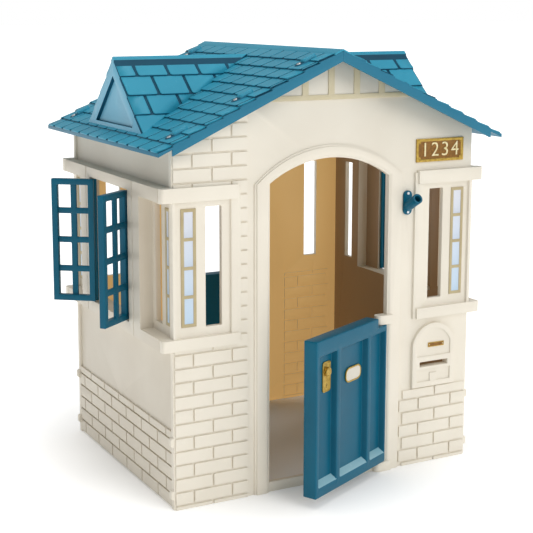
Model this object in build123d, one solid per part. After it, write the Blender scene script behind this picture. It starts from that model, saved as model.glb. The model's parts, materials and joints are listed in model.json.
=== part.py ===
from build123d import *
import os
from math import atan, ceil, cos, degrees, floor, isclose, radians, sqrt

# Plastic playhouse: two end walls, two side walls with bay windows, a shingled roof with two
# dormers, two half doors, four swinging shutters and the small trim that is fixed to them.
#
# Millimetres. +X runs along the front wall to the right as a visitor sees it, +Y runs from the
# front wall to the back wall and +Z is up. Every piece is built about the middle of the house and
# is then moved, so that the origin is the middle of the front threshold's underside, on the ground.

# ---- overall size
HOUSE_WIDTH = 991.0          # front wall, corner to corner
HOUSE_DEPTH = 774.0          # front brick face to back brick face
RIDGE_HEIGHT = 1270.0
EAVE_HEIGHT = 1010.0
EAVE_OVERHANG = 62.5         # roof past the corner of an end wall
GABLE_OVERHANG = 59.0        # roof past the brick face of an end wall

# ---- wall section
WALL_SKIN = 15.0             # plain wall, without its relief
BRICK_RISE = 5.0             # bricks stand this far out of the skin
CASING_RISE = 8.0            # window casings
TRIM_RISE = 9.0              # arch round the doorway
LINTEL_RISE = 15.0           # lintels and sills on the end walls
INNER_RISE = 3.0             # brick pattern on the inside face
SIDE_INSET = 6.5             # side walls stand in from the corner of the end walls
CORNER_GAP = 0.3             # between an end wall and a side wall
SEAT_GAP = 0.3               # between a wall's top and the roof

# ---- doorway
THROAT_HALF = 198.0
ARCH_SPRING = 900.0
ARCH_TOP = 963.0
TRIM_WIDTH = 47.0            # arch round the doorway, seen from the front
TRIM_TOP = 1000.0
TRIM_STEP = 6.0              # outer step of the arch, lower than the rest
THRESHOLD_HEIGHT = 28.0
LIP_RADIUS = 12.0

# ---- brickwork
COURSE = 39.4
MORTAR = 6.0
BRICK_LENGTH = 119.0
BRICK_CLEAR = 22.0           # smooth strip between the arch and the tall brick field
BRICK_CORNER = 5.0           # brick fields stop this far from the corner
FIRST_COURSE = 11.7          # height of the lowest mortar line on an end wall
BASE_CLEAR = 4.0             # the same strip beside the low brick field
BASE_FIELD_TOP = 237.0
SIDE_FIRST_COURSE = 4.0
SIDE_BASE_TOP = 223.0
SIDE_BASE_RISE = 6.0

# ---- end wall windows
SILL_BOTTOM = 458.0
SILL_TOP = 490.0
LINTEL_BOTTOM = 868.0
LINTEL_TOP = 907.0
CASING_BAR = 29.0
CASING_REVEAL = 26.0         # sunk strip between the casing and the open light
MULLION = 28.9               # between the open light and the printed light
CORNER_BAR = 9.0
LINTEL_OVERHANG = 35.0       # lintels and sills wrap round the corner by this much
LINTEL_SHORT = 9.0           # lintels and sills stop this far short of the casing's edge
LINTEL_ROUND = 9.0
OPEN_WIDTH = 49.6            # open light
OPEN_ROUND = 3.0
OPEN_BOTTOM = 515.0
OPEN_TOP = 850.0
MOCK_WIDTH = 45.0            # printed window light
MOCK_HEIGHT = 328.0
MOCK_BOTTOM = 520.0
MOCK_CORNER = 27.0           # from the printed light to the corner
PANEL_THICK = 2.5

# ---- side walls
BAY_REACH = 40.0             # lintel, sill and middle bay stand out this far
BAY_MARGIN = 83.5            # middle bay past the shutter's rebate
BAY_SKIN = 20.0
BAY_GROOVE_CLEAR = 33.5      # groove in the lintel and sill, past the rebate
GROOVE = 4.0
BAY_REBATE = 12.0            # depth of the shutter rebate
BAY_REBATE_WIDTH = 12.0      # step of the rebate beside the opening
BAY_OPEN_BOTTOM = 492.0
BAY_OPEN_TOP = 876.0
BAY_LINTEL_TOP = 905.0
SIDE_OPEN_WIDTH = 45.0
SIDE_MULLION = 29.0
SIDE_MOCK_WIDTH = 33.0
SIDE_MOCK_CORNER = 3.7       # from the printed light to the end of the side wall

# ---- roof
ROOF_SKIN = 6.0
SHINGLE_RISE = 5.0
SHINGLE_PITCH = 77.0
SHINGLE_GAP = 7.0
SHINGLE_STAGGER = (0.8, 0.3)  # first joint of every other course, in pitches from the gable
COURSES = 11
FIRST_ROW = 42.0             # lowest course, eave to the second course
RIDGE_ROW = 24.6             # what shows of the highest course beside the ridge line
RAKE_DEPTH = 29.0
RAKE_THICK = 8.0
RAKE_STOP = 41.0             # the rake board stops this far short of the eave
CAP_HALF = 26.0
CAP_THICK = 5.0
CAP_FIT = 0.3
RIDGE_SETBACK = 1.0          # a boss stops this far from the cap
SCREW_EAVE = 64.0            # outermost roof screw, from the eave
SCREW_SPACING = 197.5
SCREW_COUNT = 3
SCREW_HEAD = 6.5
SCREW_HEAD_HEIGHT = 3.0
SCREW_SHANK = 2.5
SCREW_DRILL = 60.0           # length that is drilled through the roof, to either side of its face
SCREW_CROWN = 1.8            # rounding of the head
BOSS_LENGTH = 62.0
BOSS_WIDTH = 26.0
BOSS_RISE = 4.0

# ---- dormers
DORMER_DROP = 32.0           # dormer ridge below the house's ridge
DORMER_EAVE = 51.0           # gable face, from the edge of the roof
DORMER_HALF = 213.0
DORMER_COURSES = 4
DORMER_SKIN = 6.0
DORMER_PANEL_DEPTH = 11.0
DORMER_BAND = 37.5           # frame round the sunk gable panel, measured square to the slope
DORMER_SILL = 15.0           # the same frame under the panel
DORMER_SKIRT = 50.0          # depth that is trimmed to the roof's slope

# ---- half doors
DOOR_THICK = 43.0
DOOR_SIDE_GAP = 3.0
DOOR_BOTTOM = 31.0
DOOR_TOP = 482.0
DOOR_PROUD = 18.0            # the closed door stands this far out of the brick face
DOOR_ROUND = 18.0            # rounded hinge edge
DOOR_EDGE_ROUND = 3.0        # the other upright edges
DOOR_AJAR = 26.3             # front door as it stands
DOOR_LIMIT = 110.0
HINGE_SETBACK = 22.0         # pin axis from the hinge edge
NOTCH_LENGTH = 60.0
NOTCH_HEIGHT = 28.0
PANEL_RECESS = 19.0
PANEL_DRAFT = 8.0
PANEL_BOTTOM = 61.0
PANEL_TOP = 437.0
HINGE_STILE = 18.0           # upright bars between the sunk panels, from the hinge outwards
HINGE_PANEL = 82.0
INNER_STILE = 18.0
OUTER_STILE = 20.0
LOCK_PANEL = 91.0
FREE_STILE = 14.0
PLATE_SHIFT = 16.5           # lock plate, from the middle of its panel towards the hinge
PLATE_SIZE = (40.0, 88.0, 3.0)
PLATE_ROUND = 8.0
PLATE_HEIGHT = 366.0
KNOB_RADIUS = 13.0
KNOB_REACH = 7.0
KNOB_ROUND = 3.5
KNOB_RISE = 14.7             # knob above the middle of its plate
BADGE_TALL = 44.0
BADGE_THICK = 4.0
BADGE_ROUND = 20.0
BADGE_RIM = 4.0
BADGE_SINK = 1.0
BADGE_HINGE_CLEAR = 13.0     # round-ended plate, from the hinge side of its panel
BADGE_FREE_CLEAR = 50.0      # and from the other side
BADGE_HEIGHT = 342.0
DOOR_PIN = 5.0
PIN_PLAY = 0.08              # running clearance round a hinge pin
FAST_FIT = 0.02              # clearance round a pin or screw that is held fast
PIN_DEPTH = 24.0             # reach of a pin into the door
PIN_END_PLAY = 1.0
LUG_REACH = 22.0             # lug end, past the pin axis
LUG_HALF = 15.0
LUG_HEIGHT = 27.0
LUG_GAP = 1.5

# ---- shutters
MEETING_GAP = 2.0            # between the two closed shutters of a bay
LEAF_BOTTOM = 496.0
LEAF_TOP = 872.0
LEAF_THICK = 19.0
LEAF_BAR_THICK = 9.0
LEAF_BAR = 18.0
LEAF_COLUMNS = 2
LEAF_ROWS = 4
LEAF_PIVOT_Y = 133.0
LEAF_PIVOT_IN = 10.0         # pin axis behind the bay's outer face
KNUCKLE = 5.5
LEAF_SIDE_GAP = 1.0          # between a knuckle and the side of the opening
SHUTTER_PIN = 2.5
SHUTTER_PIN_REACH = 14.0
SHUTTER_OPEN = 127.0
SHUTTER_LIMIT = 140.0

# ---- things fixed to the front wall
NUMBER_SIZE = (169.0, 69.0, 5.0)
NUMBER_CORNER = 118.0        # middle of the plate, from the corner
NUMBER_HEIGHT = 965.5
NUMBER_SINK = 1.5
NUMBER_RIM = 5.0
FLAG_PLATE = (29.0, 72.0, 6.0)
FLAG_CLEAR = 19.5            # middle of the bracket, from the arch
FLAG_HEIGHT = 814.0
FLAG_TUBE = 15.0
FLAG_BORE = 10.0
FLAG_LENGTH = 62.0
FLAG_BORE_DEPTH = 50.0
FLAG_TILT = 30.0             # tube above the horizontal
FLAG_ROOT_DROP = 12.0
FLAG_SCREW = 4.0
FLAG_SCREW_HEAD = 2.0
FLAG_SCREW_SHANK = 1.8
FLAG_SCREW_LENGTH = 14.0
FLAG_SCREW_SPREAD = 28.0
MAIL_CLEAR = 45.0            # mailbox panel, from the arch
MAIL_WIDTH = 154.0
MAIL_BOTTOM = 242.0
MAIL_TOP = 439.0
MAIL_ARCH = 62.0             # rise of the arched top
MAIL_RISE = 11.0
MAIL_FIELD = 16.0            # border round the sunk fields
MAIL_SINK = 4.0
SLOT_SIZE = (103.0, 16.5)
SLOT_HEIGHT = 312.5
LABEL_SIZE = (58.0, 14.0, 2.0)
LABEL_SHIFT = 9.0            # label to the right of the mailbox's middle
LABEL_HEIGHT = 371.0
MAIL_KNOB = (26.0, 26.0, 3.0)
MAIL_KNOB_HEIGHT = 270.0

# ---- timber on the gables
BEAM_DROP = 143.0            # underside of the beam, below the ridge
BEAM_HEIGHT = 14.0
STUD_WIDTH = 20.0
STUD_PITCH = 84.5
STUD_PAIRS = 2
TIMBER_THICK = 3.0
TIMBER_CLEAR = 1.0           # studs stop this far under the wall's edge

# ---- corner tabs
TAB_HEIGHTS = (43.0, 196.0)
TAB_SIZE = 26.0
TAB_WRAP = 8.0
TAB_DEPTH = 30.0

# ---- worked out once from the values above
FACE = HOUSE_DEPTH / 2 - BRICK_RISE          # plain skin of an end wall
INSIDE = FACE - WALL_SKIN                    # inside face of an end wall
HALF = HOUSE_WIDTH / 2
SIDE_FACE = HALF - SIDE_INSET
SIDE_INSIDE = SIDE_FACE - WALL_SKIN
SIDE_END = INSIDE - CORNER_GAP
BAY_FACE = SIDE_FACE + BAY_REACH
TRIM_HALF = THROAT_HALF + TRIM_WIDTH
BRICK_FROM = TRIM_HALF + BRICK_CLEAR
BASE_FROM = TRIM_HALF + BASE_CLEAR
MOCK_FAR = HALF - MOCK_CORNER
OPEN_FAR = MOCK_FAR - MOCK_WIDTH - MULLION
OPEN_NEAR = OPEN_FAR - OPEN_WIDTH
SUNK_NEAR = OPEN_NEAR - CASING_REVEAL
CASING_NEAR = SUNK_NEAR - CASING_BAR
SIDE_MOCK_FAR = SIDE_END - SIDE_MOCK_CORNER
SIDE_OPEN_FAR = SIDE_MOCK_FAR - SIDE_MOCK_WIDTH - SIDE_MULLION
SIDE_OPEN_NEAR = SIDE_OPEN_FAR - SIDE_OPEN_WIDTH
ROOF_WIDTH = HOUSE_WIDTH + 2 * EAVE_OVERHANG
ROOF_DEPTH = HOUSE_DEPTH + 2 * GABLE_OVERHANG
PITCH = (RIDGE_HEIGHT - EAVE_HEIGHT) / (ROOF_WIDTH / 2)
SLOPE = degrees(atan(PITCH))
ROOF_THICK = ROOF_SKIN + SHINGLE_RISE
DOOR_WIDTH = 2 * (THROAT_HALF - DOOR_SIDE_GAP)
DOOR_OUTER = HOUSE_DEPTH / 2 + DOOR_PROUD
PIVOT_X = THROAT_HALF - DOOR_SIDE_GAP - HINGE_SETBACK
PIVOT_Y = -(DOOR_OUTER - DOOR_THICK / 2)
LEAF_PIVOT_X = BAY_FACE - LEAF_PIVOT_IN
LEAF_WIDTH = LEAF_PIVOT_Y - MEETING_GAP / 2
BAY_OPEN_HALF = LEAF_PIVOT_Y + KNUCKLE + LEAF_SIDE_GAP
BAY_REBATE_HALF = BAY_OPEN_HALF + BAY_REBATE_WIDTH
BAY_HALF = BAY_REBATE_HALF + BAY_MARGIN
BAY_GROOVE = BAY_REBATE_HALF + BAY_GROOVE_CLEAR
MAIL_LEFT = TRIM_HALF + MAIL_CLEAR
MAIL_RIGHT = MAIL_LEFT + MAIL_WIDTH
MAIL_MIDDLE = (MAIL_LEFT + MAIL_RIGHT) / 2
FLAG_X = TRIM_HALF + FLAG_CLEAR
BEAM_BOTTOM = RIDGE_HEIGHT - BEAM_DROP
DORMER_RIDGE = RIDGE_HEIGHT - DORMER_DROP
DORMER_FACE = ROOF_WIDTH / 2 - DORMER_EAVE
DORMER_PITCH = (DORMER_RIDGE - (RIDGE_HEIGHT - PITCH * DORMER_FACE)) / DORMER_HALF
ORIGIN_Y = (FACE + INSIDE) / 2

# A wall's elevation is drawn flat, then stood up facing its own way.
FRONT = Plane.XZ
ON_END = (Align.CENTER, Align.CENTER, Align.MIN)      # a cylinder that stands on its end
TINY = 0.01
LEFT = Plane(origin=(0, 0, 0), x_dir=(0, -1, 0), z_dir=(-1, 0, 0))


def roof_height(across):
    """Height of the shingles' outer envelope at a distance from the ridge line."""
    return RIDGE_HEIGHT - PITCH * abs(across)


def wall_top(across):
    """Height that a wall reaches under the roof."""
    return roof_height(across) - ROOF_THICK - SEAT_GAP


def slab(sketch, back, front, plane=FRONT):
    """Stand a flat drawing up and give it depth, from one distance out of the middle to another."""
    return extrude(plane.offset(back) * sketch, front - back)


def rect(left, right, bottom, top):
    """Rectangle between two pairs of edges."""
    return Pos((left + right) / 2, (bottom + top) / 2) * Rectangle(right - left, top - bottom)


def soft_rect(left, right, bottom, top, radius):
    """Rectangle between two pairs of edges, with round corners."""
    return Pos((left + right) / 2, (bottom + top) / 2) * RectangleRounded(
        right - left, top - bottom, radius)


def arched(half, spring, top, bottom=0.0, centre=0.0):
    """Opening with straight sides and an arch that rises from the spring line to the top."""
    path = Line((centre - half, bottom), (centre + half, bottom))
    path += Line((centre + half, bottom), (centre + half, spring))
    path += ThreePointArc((centre + half, spring), (centre, top), (centre - half, spring))
    path += Line((centre - half, spring), (centre - half, bottom))
    return make_face(path)


def gable_outline(drop=0.0):
    """Elevation of an end wall, up to the underside of the roof."""
    points = [(-HALF, 0), (HALF, 0), (HALF, wall_top(HALF) - drop)]
    points += [(0, wall_top(0) - drop), (-HALF, wall_top(HALF) - drop), (-HALF, 0)]
    return make_face(Polyline(*points))


def bricks(left, right, bottom, top, first, joint):
    """Bricks of a field in half bond, each a rectangle short of its mortar lines."""
    field = []
    for row in range(floor((bottom - first) / COURSE), ceil((top - first) / COURSE)):
        low = max(bottom, first + row * COURSE + MORTAR / 2)
        high = min(top, first + (row + 1) * COURSE - MORTAR / 2)
        if high - low < MORTAR:
            continue
        start = joint + (row % 2) * BRICK_LENGTH / 2
        for step in range(floor((left - start) / BRICK_LENGTH), ceil((right - start) / BRICK_LENGTH)):
            near = max(left, start + step * BRICK_LENGTH + MORTAR / 2)
            far = min(right, start + (step + 1) * BRICK_LENGTH - MORTAR / 2)
            if far - near > MORTAR:
                field.append(rect(near, far, low, high))
    return field


def end_window(side):
    """Casing, lintel and sill round one window of an end wall; side is -1 left or 1 right."""
    near = side * CASING_NEAR
    corner = side * HALF
    reach = side * (HALF + LINTEL_OVERHANG)
    start = side * (CASING_NEAR + LINTEL_SHORT)
    span = sorted((near, corner))
    casing = slab(rect(*span, SILL_BOTTOM, LINTEL_TOP - MORTAR), FACE, FACE + CASING_RISE)
    heads = []
    for low, high in ((LINTEL_BOTTOM, LINTEL_TOP), (SILL_BOTTOM, SILL_TOP)):
        bar = rect(*sorted((start, corner)), low, high)
        wrap = rect(*sorted((corner - side * LINTEL_ROUND, reach)), low, high)
        heads.append(slab(bar, FACE, FACE + LINTEL_RISE))
        knob = slab(wrap, INSIDE, FACE + LINTEL_RISE)
        outer = knob.edges().filter_by(Axis.Z).group_by(Axis.X)[-1 if side > 0 else 0]
        heads.append(fillet(outer, LINTEL_ROUND))
    return casing, heads


def end_window_cuts(side):
    """Sunk field and open light of one window of an end wall."""
    outer = HALF - CORNER_BAR
    sunk = slab(rect(*sorted((side * SUNK_NEAR, side * outer)), SILL_TOP, LINTEL_BOTTOM),
                FACE, FACE + LINTEL_RISE)
    opening = soft_rect(*sorted((side * OPEN_NEAR, side * OPEN_FAR)), OPEN_BOTTOM, OPEN_TOP,
                        OPEN_ROUND)
    light = slab(opening, 0, FACE + LINTEL_RISE)
    return [sunk, light]


def corner_tabs(side):
    """Round tabs of an end wall that hook round the corner onto the side wall's face."""
    tabs = []
    for height in TAB_HEIGHTS:
        flat = rect(*sorted((side * (HALF - WALL_SKIN), side * (HALF + TAB_WRAP))),
                    height - TAB_SIZE / 2, height + TAB_SIZE / 2)
        tab = slab(flat, FACE - WALL_SKIN, FACE)
        outer = tab.edges().filter_by(Axis.Y).group_by(Axis.X)[-1 if side > 0 else 0]
        tabs.append(fillet(outer, TAB_WRAP - 1))
    return tabs


def hinge_lug(low, high):
    """Lug on the right jamb that a door's pin stands in."""
    flat = Pos((PIVOT_X + THROAT_HALF) / 2 + WALL_SKIN / 2, PIVOT_Y) * Rectangle(
        THROAT_HALF - PIVOT_X + WALL_SKIN, 2 * LUG_HALF)
    flat += Pos(PIVOT_X, PIVOT_Y) * Circle(LUG_HALF)
    return extrude(Plane.XY.offset(low) * flat, high - low)


def upright_hole(x, y, low, high, radius):
    """Round hole along Z between two heights."""
    return Pos(x, y, (low + high) / 2) * Cylinder(radius, high - low)


def mailbox():
    """Raised arched panel for the letters, with sunk fields and a square boss."""
    middle = MAIL_MIDDLE
    half = MAIL_WIDTH / 2
    spring = MAIL_TOP - MAIL_ARCH
    body = slab(arched(half, spring, MAIL_TOP, MAIL_BOTTOM, middle), FACE, FACE + MAIL_RISE)
    inner = half - MAIL_FIELD
    slot_top = SLOT_HEIGHT + SLOT_SIZE[1] / 2 + MAIL_FIELD
    slot_bottom = SLOT_HEIGHT - SLOT_SIZE[1] / 2 - MAIL_FIELD / 2
    front = FACE + MAIL_RISE
    upper = arched(inner, spring, MAIL_TOP - MAIL_FIELD, slot_top, middle)
    body -= slab(upper, front - MAIL_SINK, front)
    lower = rect(middle - inner, middle + inner, MAIL_BOTTOM + MAIL_FIELD, slot_bottom)
    body -= slab(lower, front - MAIL_SINK, front)
    boss = Pos(middle, MAIL_KNOB_HEIGHT) * Rectangle(MAIL_KNOB[0], MAIL_KNOB[1])
    return body + slab(boss, front - MAIL_SINK, front - MAIL_SINK + MAIL_KNOB[2])


def doorway_trim():
    """Arch round a doorway, with a low outer step and a rounded lip."""
    throat = arched(THROAT_HALF, ARCH_SPRING, ARCH_TOP)
    outer = slab(arched(TRIM_HALF, ARCH_SPRING, TRIM_TOP) - throat, FACE, FACE + TRIM_RISE / 2)
    inner_top = TRIM_TOP - TRIM_STEP
    ring = slab(arched(TRIM_HALF - TRIM_STEP, ARCH_SPRING, inner_top) - throat, INSIDE,
                FACE + TRIM_RISE)
    front = ring.faces().sort_by(Axis.Y)[0]
    lip = [edge for edge in front.edges() if reaches_throat(edge)]
    return outer, fillet(lip, LIP_RADIUS)


def reaches_throat(edge):
    """True for an edge that runs along the throat of a doorway."""
    middle = edge.position_at(0.5)
    on_side = isclose(abs(middle.X), THROAT_HALF, abs_tol=TINY)
    on_arch = isclose(middle.Z, ARCH_TOP, abs_tol=TINY)
    return on_side or on_arch


def plain_end_wall():
    """End wall that both ends share: skin, arch, windows, bricks and threshold."""
    throat = slab(arched(THROAT_HALF, ARCH_SPRING, ARCH_TOP, THRESHOLD_HEIGHT), 0, HOUSE_DEPTH)
    wall = slab(gable_outline(), INSIDE, FACE)
    corner = HALF - BRICK_CORNER
    joint = -HALF + BRICK_LENGTH / 2
    tall = bricks(-corner, -BRICK_FROM, 0, RIDGE_HEIGHT, FIRST_COURSE, joint)
    low = bricks(BASE_FROM, corner, 0, BASE_FIELD_TOP, FIRST_COURSE, -joint)
    raised = [slab(brick, FACE, FACE + BRICK_RISE) for brick in tall + low]
    inside = bricks(-SIDE_INSIDE + TAB_DEPTH, -BRICK_FROM, 0, SILL_BOTTOM, FIRST_COURSE, joint)
    raised += [slab(brick, INSIDE - INNER_RISE, INSIDE) for brick in inside]
    under_roof = slab(gable_outline(), 0, HOUSE_DEPTH)
    raised = [brick & under_roof for brick in raised]
    wall += [brick for brick in raised if brick.volume > 0]
    step, ring = doorway_trim()
    wall += step
    for side in (-1, 1):
        casing, heads = end_window(side)
        wall += casing
        wall += heads
        wall -= end_window_cuts(side)
        wall += corner_tabs(side)
    wall -= throat
    wall += ring - slab(rect(-THROAT_HALF, THROAT_HALF, 0, THRESHOLD_HEIGHT), 0, HOUSE_DEPTH)
    lug_low = DOOR_TOP - NOTCH_HEIGHT + LUG_GAP
    lug_top = lug_low + LUG_HEIGHT
    wall += hinge_lug(lug_low, lug_top)
    wall += hinge_lug(0, THRESHOLD_HEIGHT)
    return wall - upright_hole(PIVOT_X, PIVOT_Y, 0, lug_top, DOOR_PIN + FAST_FIT)


def front_wall(blank):
    """Front wall: the shared wall with the mailbox, its slot and the flag bracket's holes."""
    slot = Pos(MAIL_MIDDLE, SLOT_HEIGHT) * Rectangle(*SLOT_SIZE)
    wall = blank + mailbox() - slab(slot, 0, HOUSE_DEPTH)
    return wall - flag_screw_holes()


def side_wall():
    """Left wall, with a lintel, a sill and a middle bay that stand out. It faces -X."""
    top = wall_top(SIDE_FACE)
    wall = slab(rect(-SIDE_END, SIDE_END, 0, top), SIDE_INSIDE, SIDE_FACE, LEFT)
    base = bricks(-SIDE_END, SIDE_END, 0, SIDE_BASE_TOP, SIDE_FIRST_COURSE, BRICK_LENGTH / 4)
    wall += [slab(brick, SIDE_FACE, SIDE_FACE + SIDE_BASE_RISE, LEFT) for brick in base]
    for low, high in ((SILL_BOTTOM, SILL_TOP), (LINTEL_BOTTOM, BAY_LINTEL_TOP)):
        wall += slab(rect(-SIDE_END, SIDE_END, low, high), SIDE_FACE, BAY_FACE, LEFT)
    wall += slab(rect(-BAY_HALF, BAY_HALF, SILL_TOP, LINTEL_BOTTOM), SIDE_FACE, BAY_FACE, LEFT)
    hollow = rect(-BAY_HALF + BAY_SKIN, BAY_HALF - BAY_SKIN, BAY_OPEN_BOTTOM, BAY_OPEN_TOP)
    wall -= slab(hollow, SIDE_INSIDE, BAY_FACE - BAY_SKIN, LEFT)
    opening = rect(-BAY_OPEN_HALF, BAY_OPEN_HALF, BAY_OPEN_BOTTOM, BAY_OPEN_TOP)
    wall -= slab(opening, SIDE_INSIDE, BAY_FACE, LEFT)
    rebate = rect(-BAY_REBATE_HALF, BAY_REBATE_HALF, BAY_OPEN_BOTTOM, BAY_OPEN_TOP)
    wall -= slab(rebate, BAY_FACE - BAY_REBATE, BAY_FACE, LEFT)
    for side in (-1, 1):
        line = side * BAY_GROOVE
        groove = rect(line - GROOVE / 2, line + GROOVE / 2, SILL_BOTTOM, BAY_LINTEL_TOP)
        wall -= slab(groove, BAY_FACE - GROOVE, BAY_FACE, LEFT)
        light = rect(*sorted((side * SIDE_OPEN_NEAR, side * SIDE_OPEN_FAR)), OPEN_BOTTOM, OPEN_TOP)
        wall -= slab(light, SIDE_INSIDE, BAY_FACE, LEFT)
        wall -= upright_hole(-LEAF_PIVOT_X, side * LEAF_PIVOT_Y, LEAF_BOTTOM - SHUTTER_PIN_REACH,
                             LEAF_TOP + SHUTTER_PIN_REACH, SHUTTER_PIN + FAST_FIT)
    return wall


def shingle_rows():
    """Distances from the eave at which each shingle course ends, from the eave to the ridge."""
    run = ROOF_WIDTH / 2
    pitch = (run - FIRST_ROW - RIDGE_ROW) / (COURSES - 1)
    edges = [FIRST_ROW + course * pitch for course in range(COURSES)]
    return [0.0] + edges + [run]


def roof_panel():
    """Left half of the roof: stepped shingle courses over a skin, with rake boards at its ends."""
    run = ROOF_WIDTH / 2
    rows = shingle_rows()
    points = [(-run, EAVE_HEIGHT - ROOF_THICK), (-run, EAVE_HEIGHT)]
    for low, high in zip(rows, rows[1:]):
        if low > 0:
            points.append((low - run, roof_height(low - run)))
        points.append((high - run, roof_height(high - run) - SHINGLE_RISE))
    points[-1] = (-CAP_FIT, roof_height(CAP_FIT) - SHINGLE_RISE)
    points += [(-CAP_FIT, roof_height(CAP_FIT) - ROOF_THICK), points[0]]
    half = ROOF_DEPTH / 2
    panel = slab(make_face(Polyline(*points)), -half, half)
    stop = RAKE_STOP - run
    rake = [(stop, roof_height(stop) - ROOF_THICK), (-CAP_FIT, roof_height(CAP_FIT) - ROOF_THICK)]
    rake += [(-CAP_FIT, roof_height(CAP_FIT) - RAKE_DEPTH - SHINGLE_RISE)]
    rake += [(stop, roof_height(stop) - RAKE_DEPTH), rake[0]]
    board = make_face(Polyline(*rake))
    panel += slab(board, half - RAKE_THICK, half)
    panel += slab(board, -half, RAKE_THICK - half)
    gaps = []
    for index, (low, high) in enumerate(zip(rows, rows[1:])):
        middle = (low + high) / 2 - run
        length = (high - low) / cos(radians(SLOPE))
        first = -half + SHINGLE_PITCH * SHINGLE_STAGGER[index % 2]
        count = int((half - SHINGLE_GAP - first) / SHINGLE_PITCH) + 1
        for step in range(count):
            place = Pos(middle, first + step * SHINGLE_PITCH, roof_height(middle)) * Rot(Y=-SLOPE)
            gaps.append(place * Box(length - SHINGLE_GAP, SHINGLE_GAP, SHINGLE_RISE))
    panel -= gaps
    panel -= slab(cap_section(CAP_FIT), -half, half)
    panel += [boss_at(x, y) for x, y in screw_spots()]
    return panel - [screw_hole(x, y) for x, y in screw_spots()]


def cap_section(fit=0.0):
    """End view of the ridge cap, widened by a fit."""
    half = CAP_HALF + fit
    top = RIDGE_HEIGHT
    low = roof_height(half) - CAP_THICK - fit
    points = [(-half, low), (-half, roof_height(half)), (0, top), (half, roof_height(half))]
    points += [(half, low), (0, top - CAP_THICK - fit), (-half, low)]
    return make_face(Polyline(*points))


def screw_spots():
    """Plan places of the left roof panel's screws, over the end walls."""
    over_wall = (FACE + INSIDE) / 2
    outermost = ROOF_WIDTH / 2 - SCREW_EAVE
    rows = [outermost - step * SCREW_SPACING for step in range(SCREW_COUNT)]
    return [(-x, y) for x in rows for y in (-over_wall, over_wall)]


def on_slope(x, y):
    """Frame on the left roof slope at a plan place, its Z out of the shingles."""
    return Pos(x, y, roof_height(x)) * Rot(Y=-SLOPE)


def boss_at(x, y):
    """Long raised boss that runs uphill from a roof screw, short of the cap."""
    boss = extrude(SlotOverall(BOSS_LENGTH, BOSS_WIDTH), BOSS_RISE + ROOF_SKIN)
    uphill = (BOSS_LENGTH - BOSS_WIDTH) / 2
    limit = rect(-ROOF_WIDTH / 2, -CAP_HALF - RIDGE_SETBACK, 0, RIDGE_HEIGHT + BOSS_RISE)
    return (on_slope(x, y) * Pos(uphill, 0, -ROOF_SKIN) * boss) & slab(
        limit, -ROOF_DEPTH / 2, ROOF_DEPTH / 2)


def screw_hole(x, y):
    """Hole for the shank of a roof screw."""
    return on_slope(x, y) * Cylinder(SCREW_SHANK + FAST_FIT, SCREW_DRILL)


def roof_screw(x, y):
    """Pan-head screw that holds the roof down on a wall."""
    head = Cylinder(SCREW_HEAD, SCREW_HEAD_HEIGHT, align=ON_END)
    head = fillet(head.edges().group_by(Axis.Z)[-1], SCREW_CROWN)
    shank = Cylinder(SCREW_SHANK, BOSS_RISE + ROOF_THICK * cos(radians(SLOPE)),
                     align=(Align.CENTER, Align.CENTER, Align.MAX))
    return on_slope(x, y) * Pos(0, 0, BOSS_RISE) * (head + shank)


def triangle(half, base, apex):
    """Triangle about the middle line, from its base line up to its apex."""
    return make_face(Polyline((-half, base), (half, base), (0, apex), (-half, base)))


def dormer_outline(foot):
    """Front view of a dormer: stepped shingle courses each side of its ridge, down to a foot."""
    step = DORMER_HALF / DORMER_COURSES
    right = [(0, DORMER_RIDGE)]
    for course in range(1, DORMER_COURSES + 1):
        edge = course * step
        height = DORMER_RIDGE - DORMER_PITCH * edge
        right.append((edge, height))
        if course < DORMER_COURSES:
            right.append((edge, height - SHINGLE_RISE))
    right.append((DORMER_HALF, foot))
    left = [(-across, height) for across, height in reversed(right)]
    return make_face(Polyline(*right, *left[:-1], right[0]))


def dormer():
    """Left dormer: a small shingled roof with a sunk triangular gable, open underneath."""
    foot = roof_height(DORMER_FACE)
    stretch = sqrt(1 + DORMER_PITCH * DORMER_PITCH)
    shell = slab(dormer_outline(foot - DORMER_SKIRT), 0, DORMER_FACE, LEFT)
    peak = DORMER_RIDGE - (DORMER_SKIN + SHINGLE_RISE) * stretch
    floor_level = foot - 2 * DORMER_SKIRT
    core = triangle((peak - floor_level) / DORMER_PITCH, floor_level, peak)
    shell -= slab(core, 0, DORMER_FACE - DORMER_SKIN - DORMER_PANEL_DEPTH, LEFT)
    tip = DORMER_RIDGE - DORMER_BAND * stretch
    sill = foot + DORMER_SILL
    field = triangle((tip - sill) / DORMER_PITCH, sill, tip)
    shell -= slab(field, DORMER_FACE - DORMER_PANEL_DEPTH, DORMER_FACE, LEFT)
    return shell - roof_volume(CAP_FIT)


def roof_volume(lift):
    """All that lies under the left roof slope, raised by a lift."""
    run = ROOF_WIDTH
    below = [(-run, 0), (0, 0), (0, RIDGE_HEIGHT + lift), (-run, roof_height(run) + lift), (-run, 0)]
    return slab(make_face(Polyline(*below)), -ROOF_DEPTH, ROOF_DEPTH)


def panel_spans():
    """Near and far edges of the door's three sunk panels, from the hinge edge."""
    hinge = (HINGE_STILE, HINGE_STILE + HINGE_PANEL)
    lock = (DOOR_WIDTH - FREE_STILE - LOCK_PANEL, DOOR_WIDTH - FREE_STILE)
    middle = (hinge[1] + INNER_STILE, lock[0] - OUTER_STILE)
    return hinge, middle, lock


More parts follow.
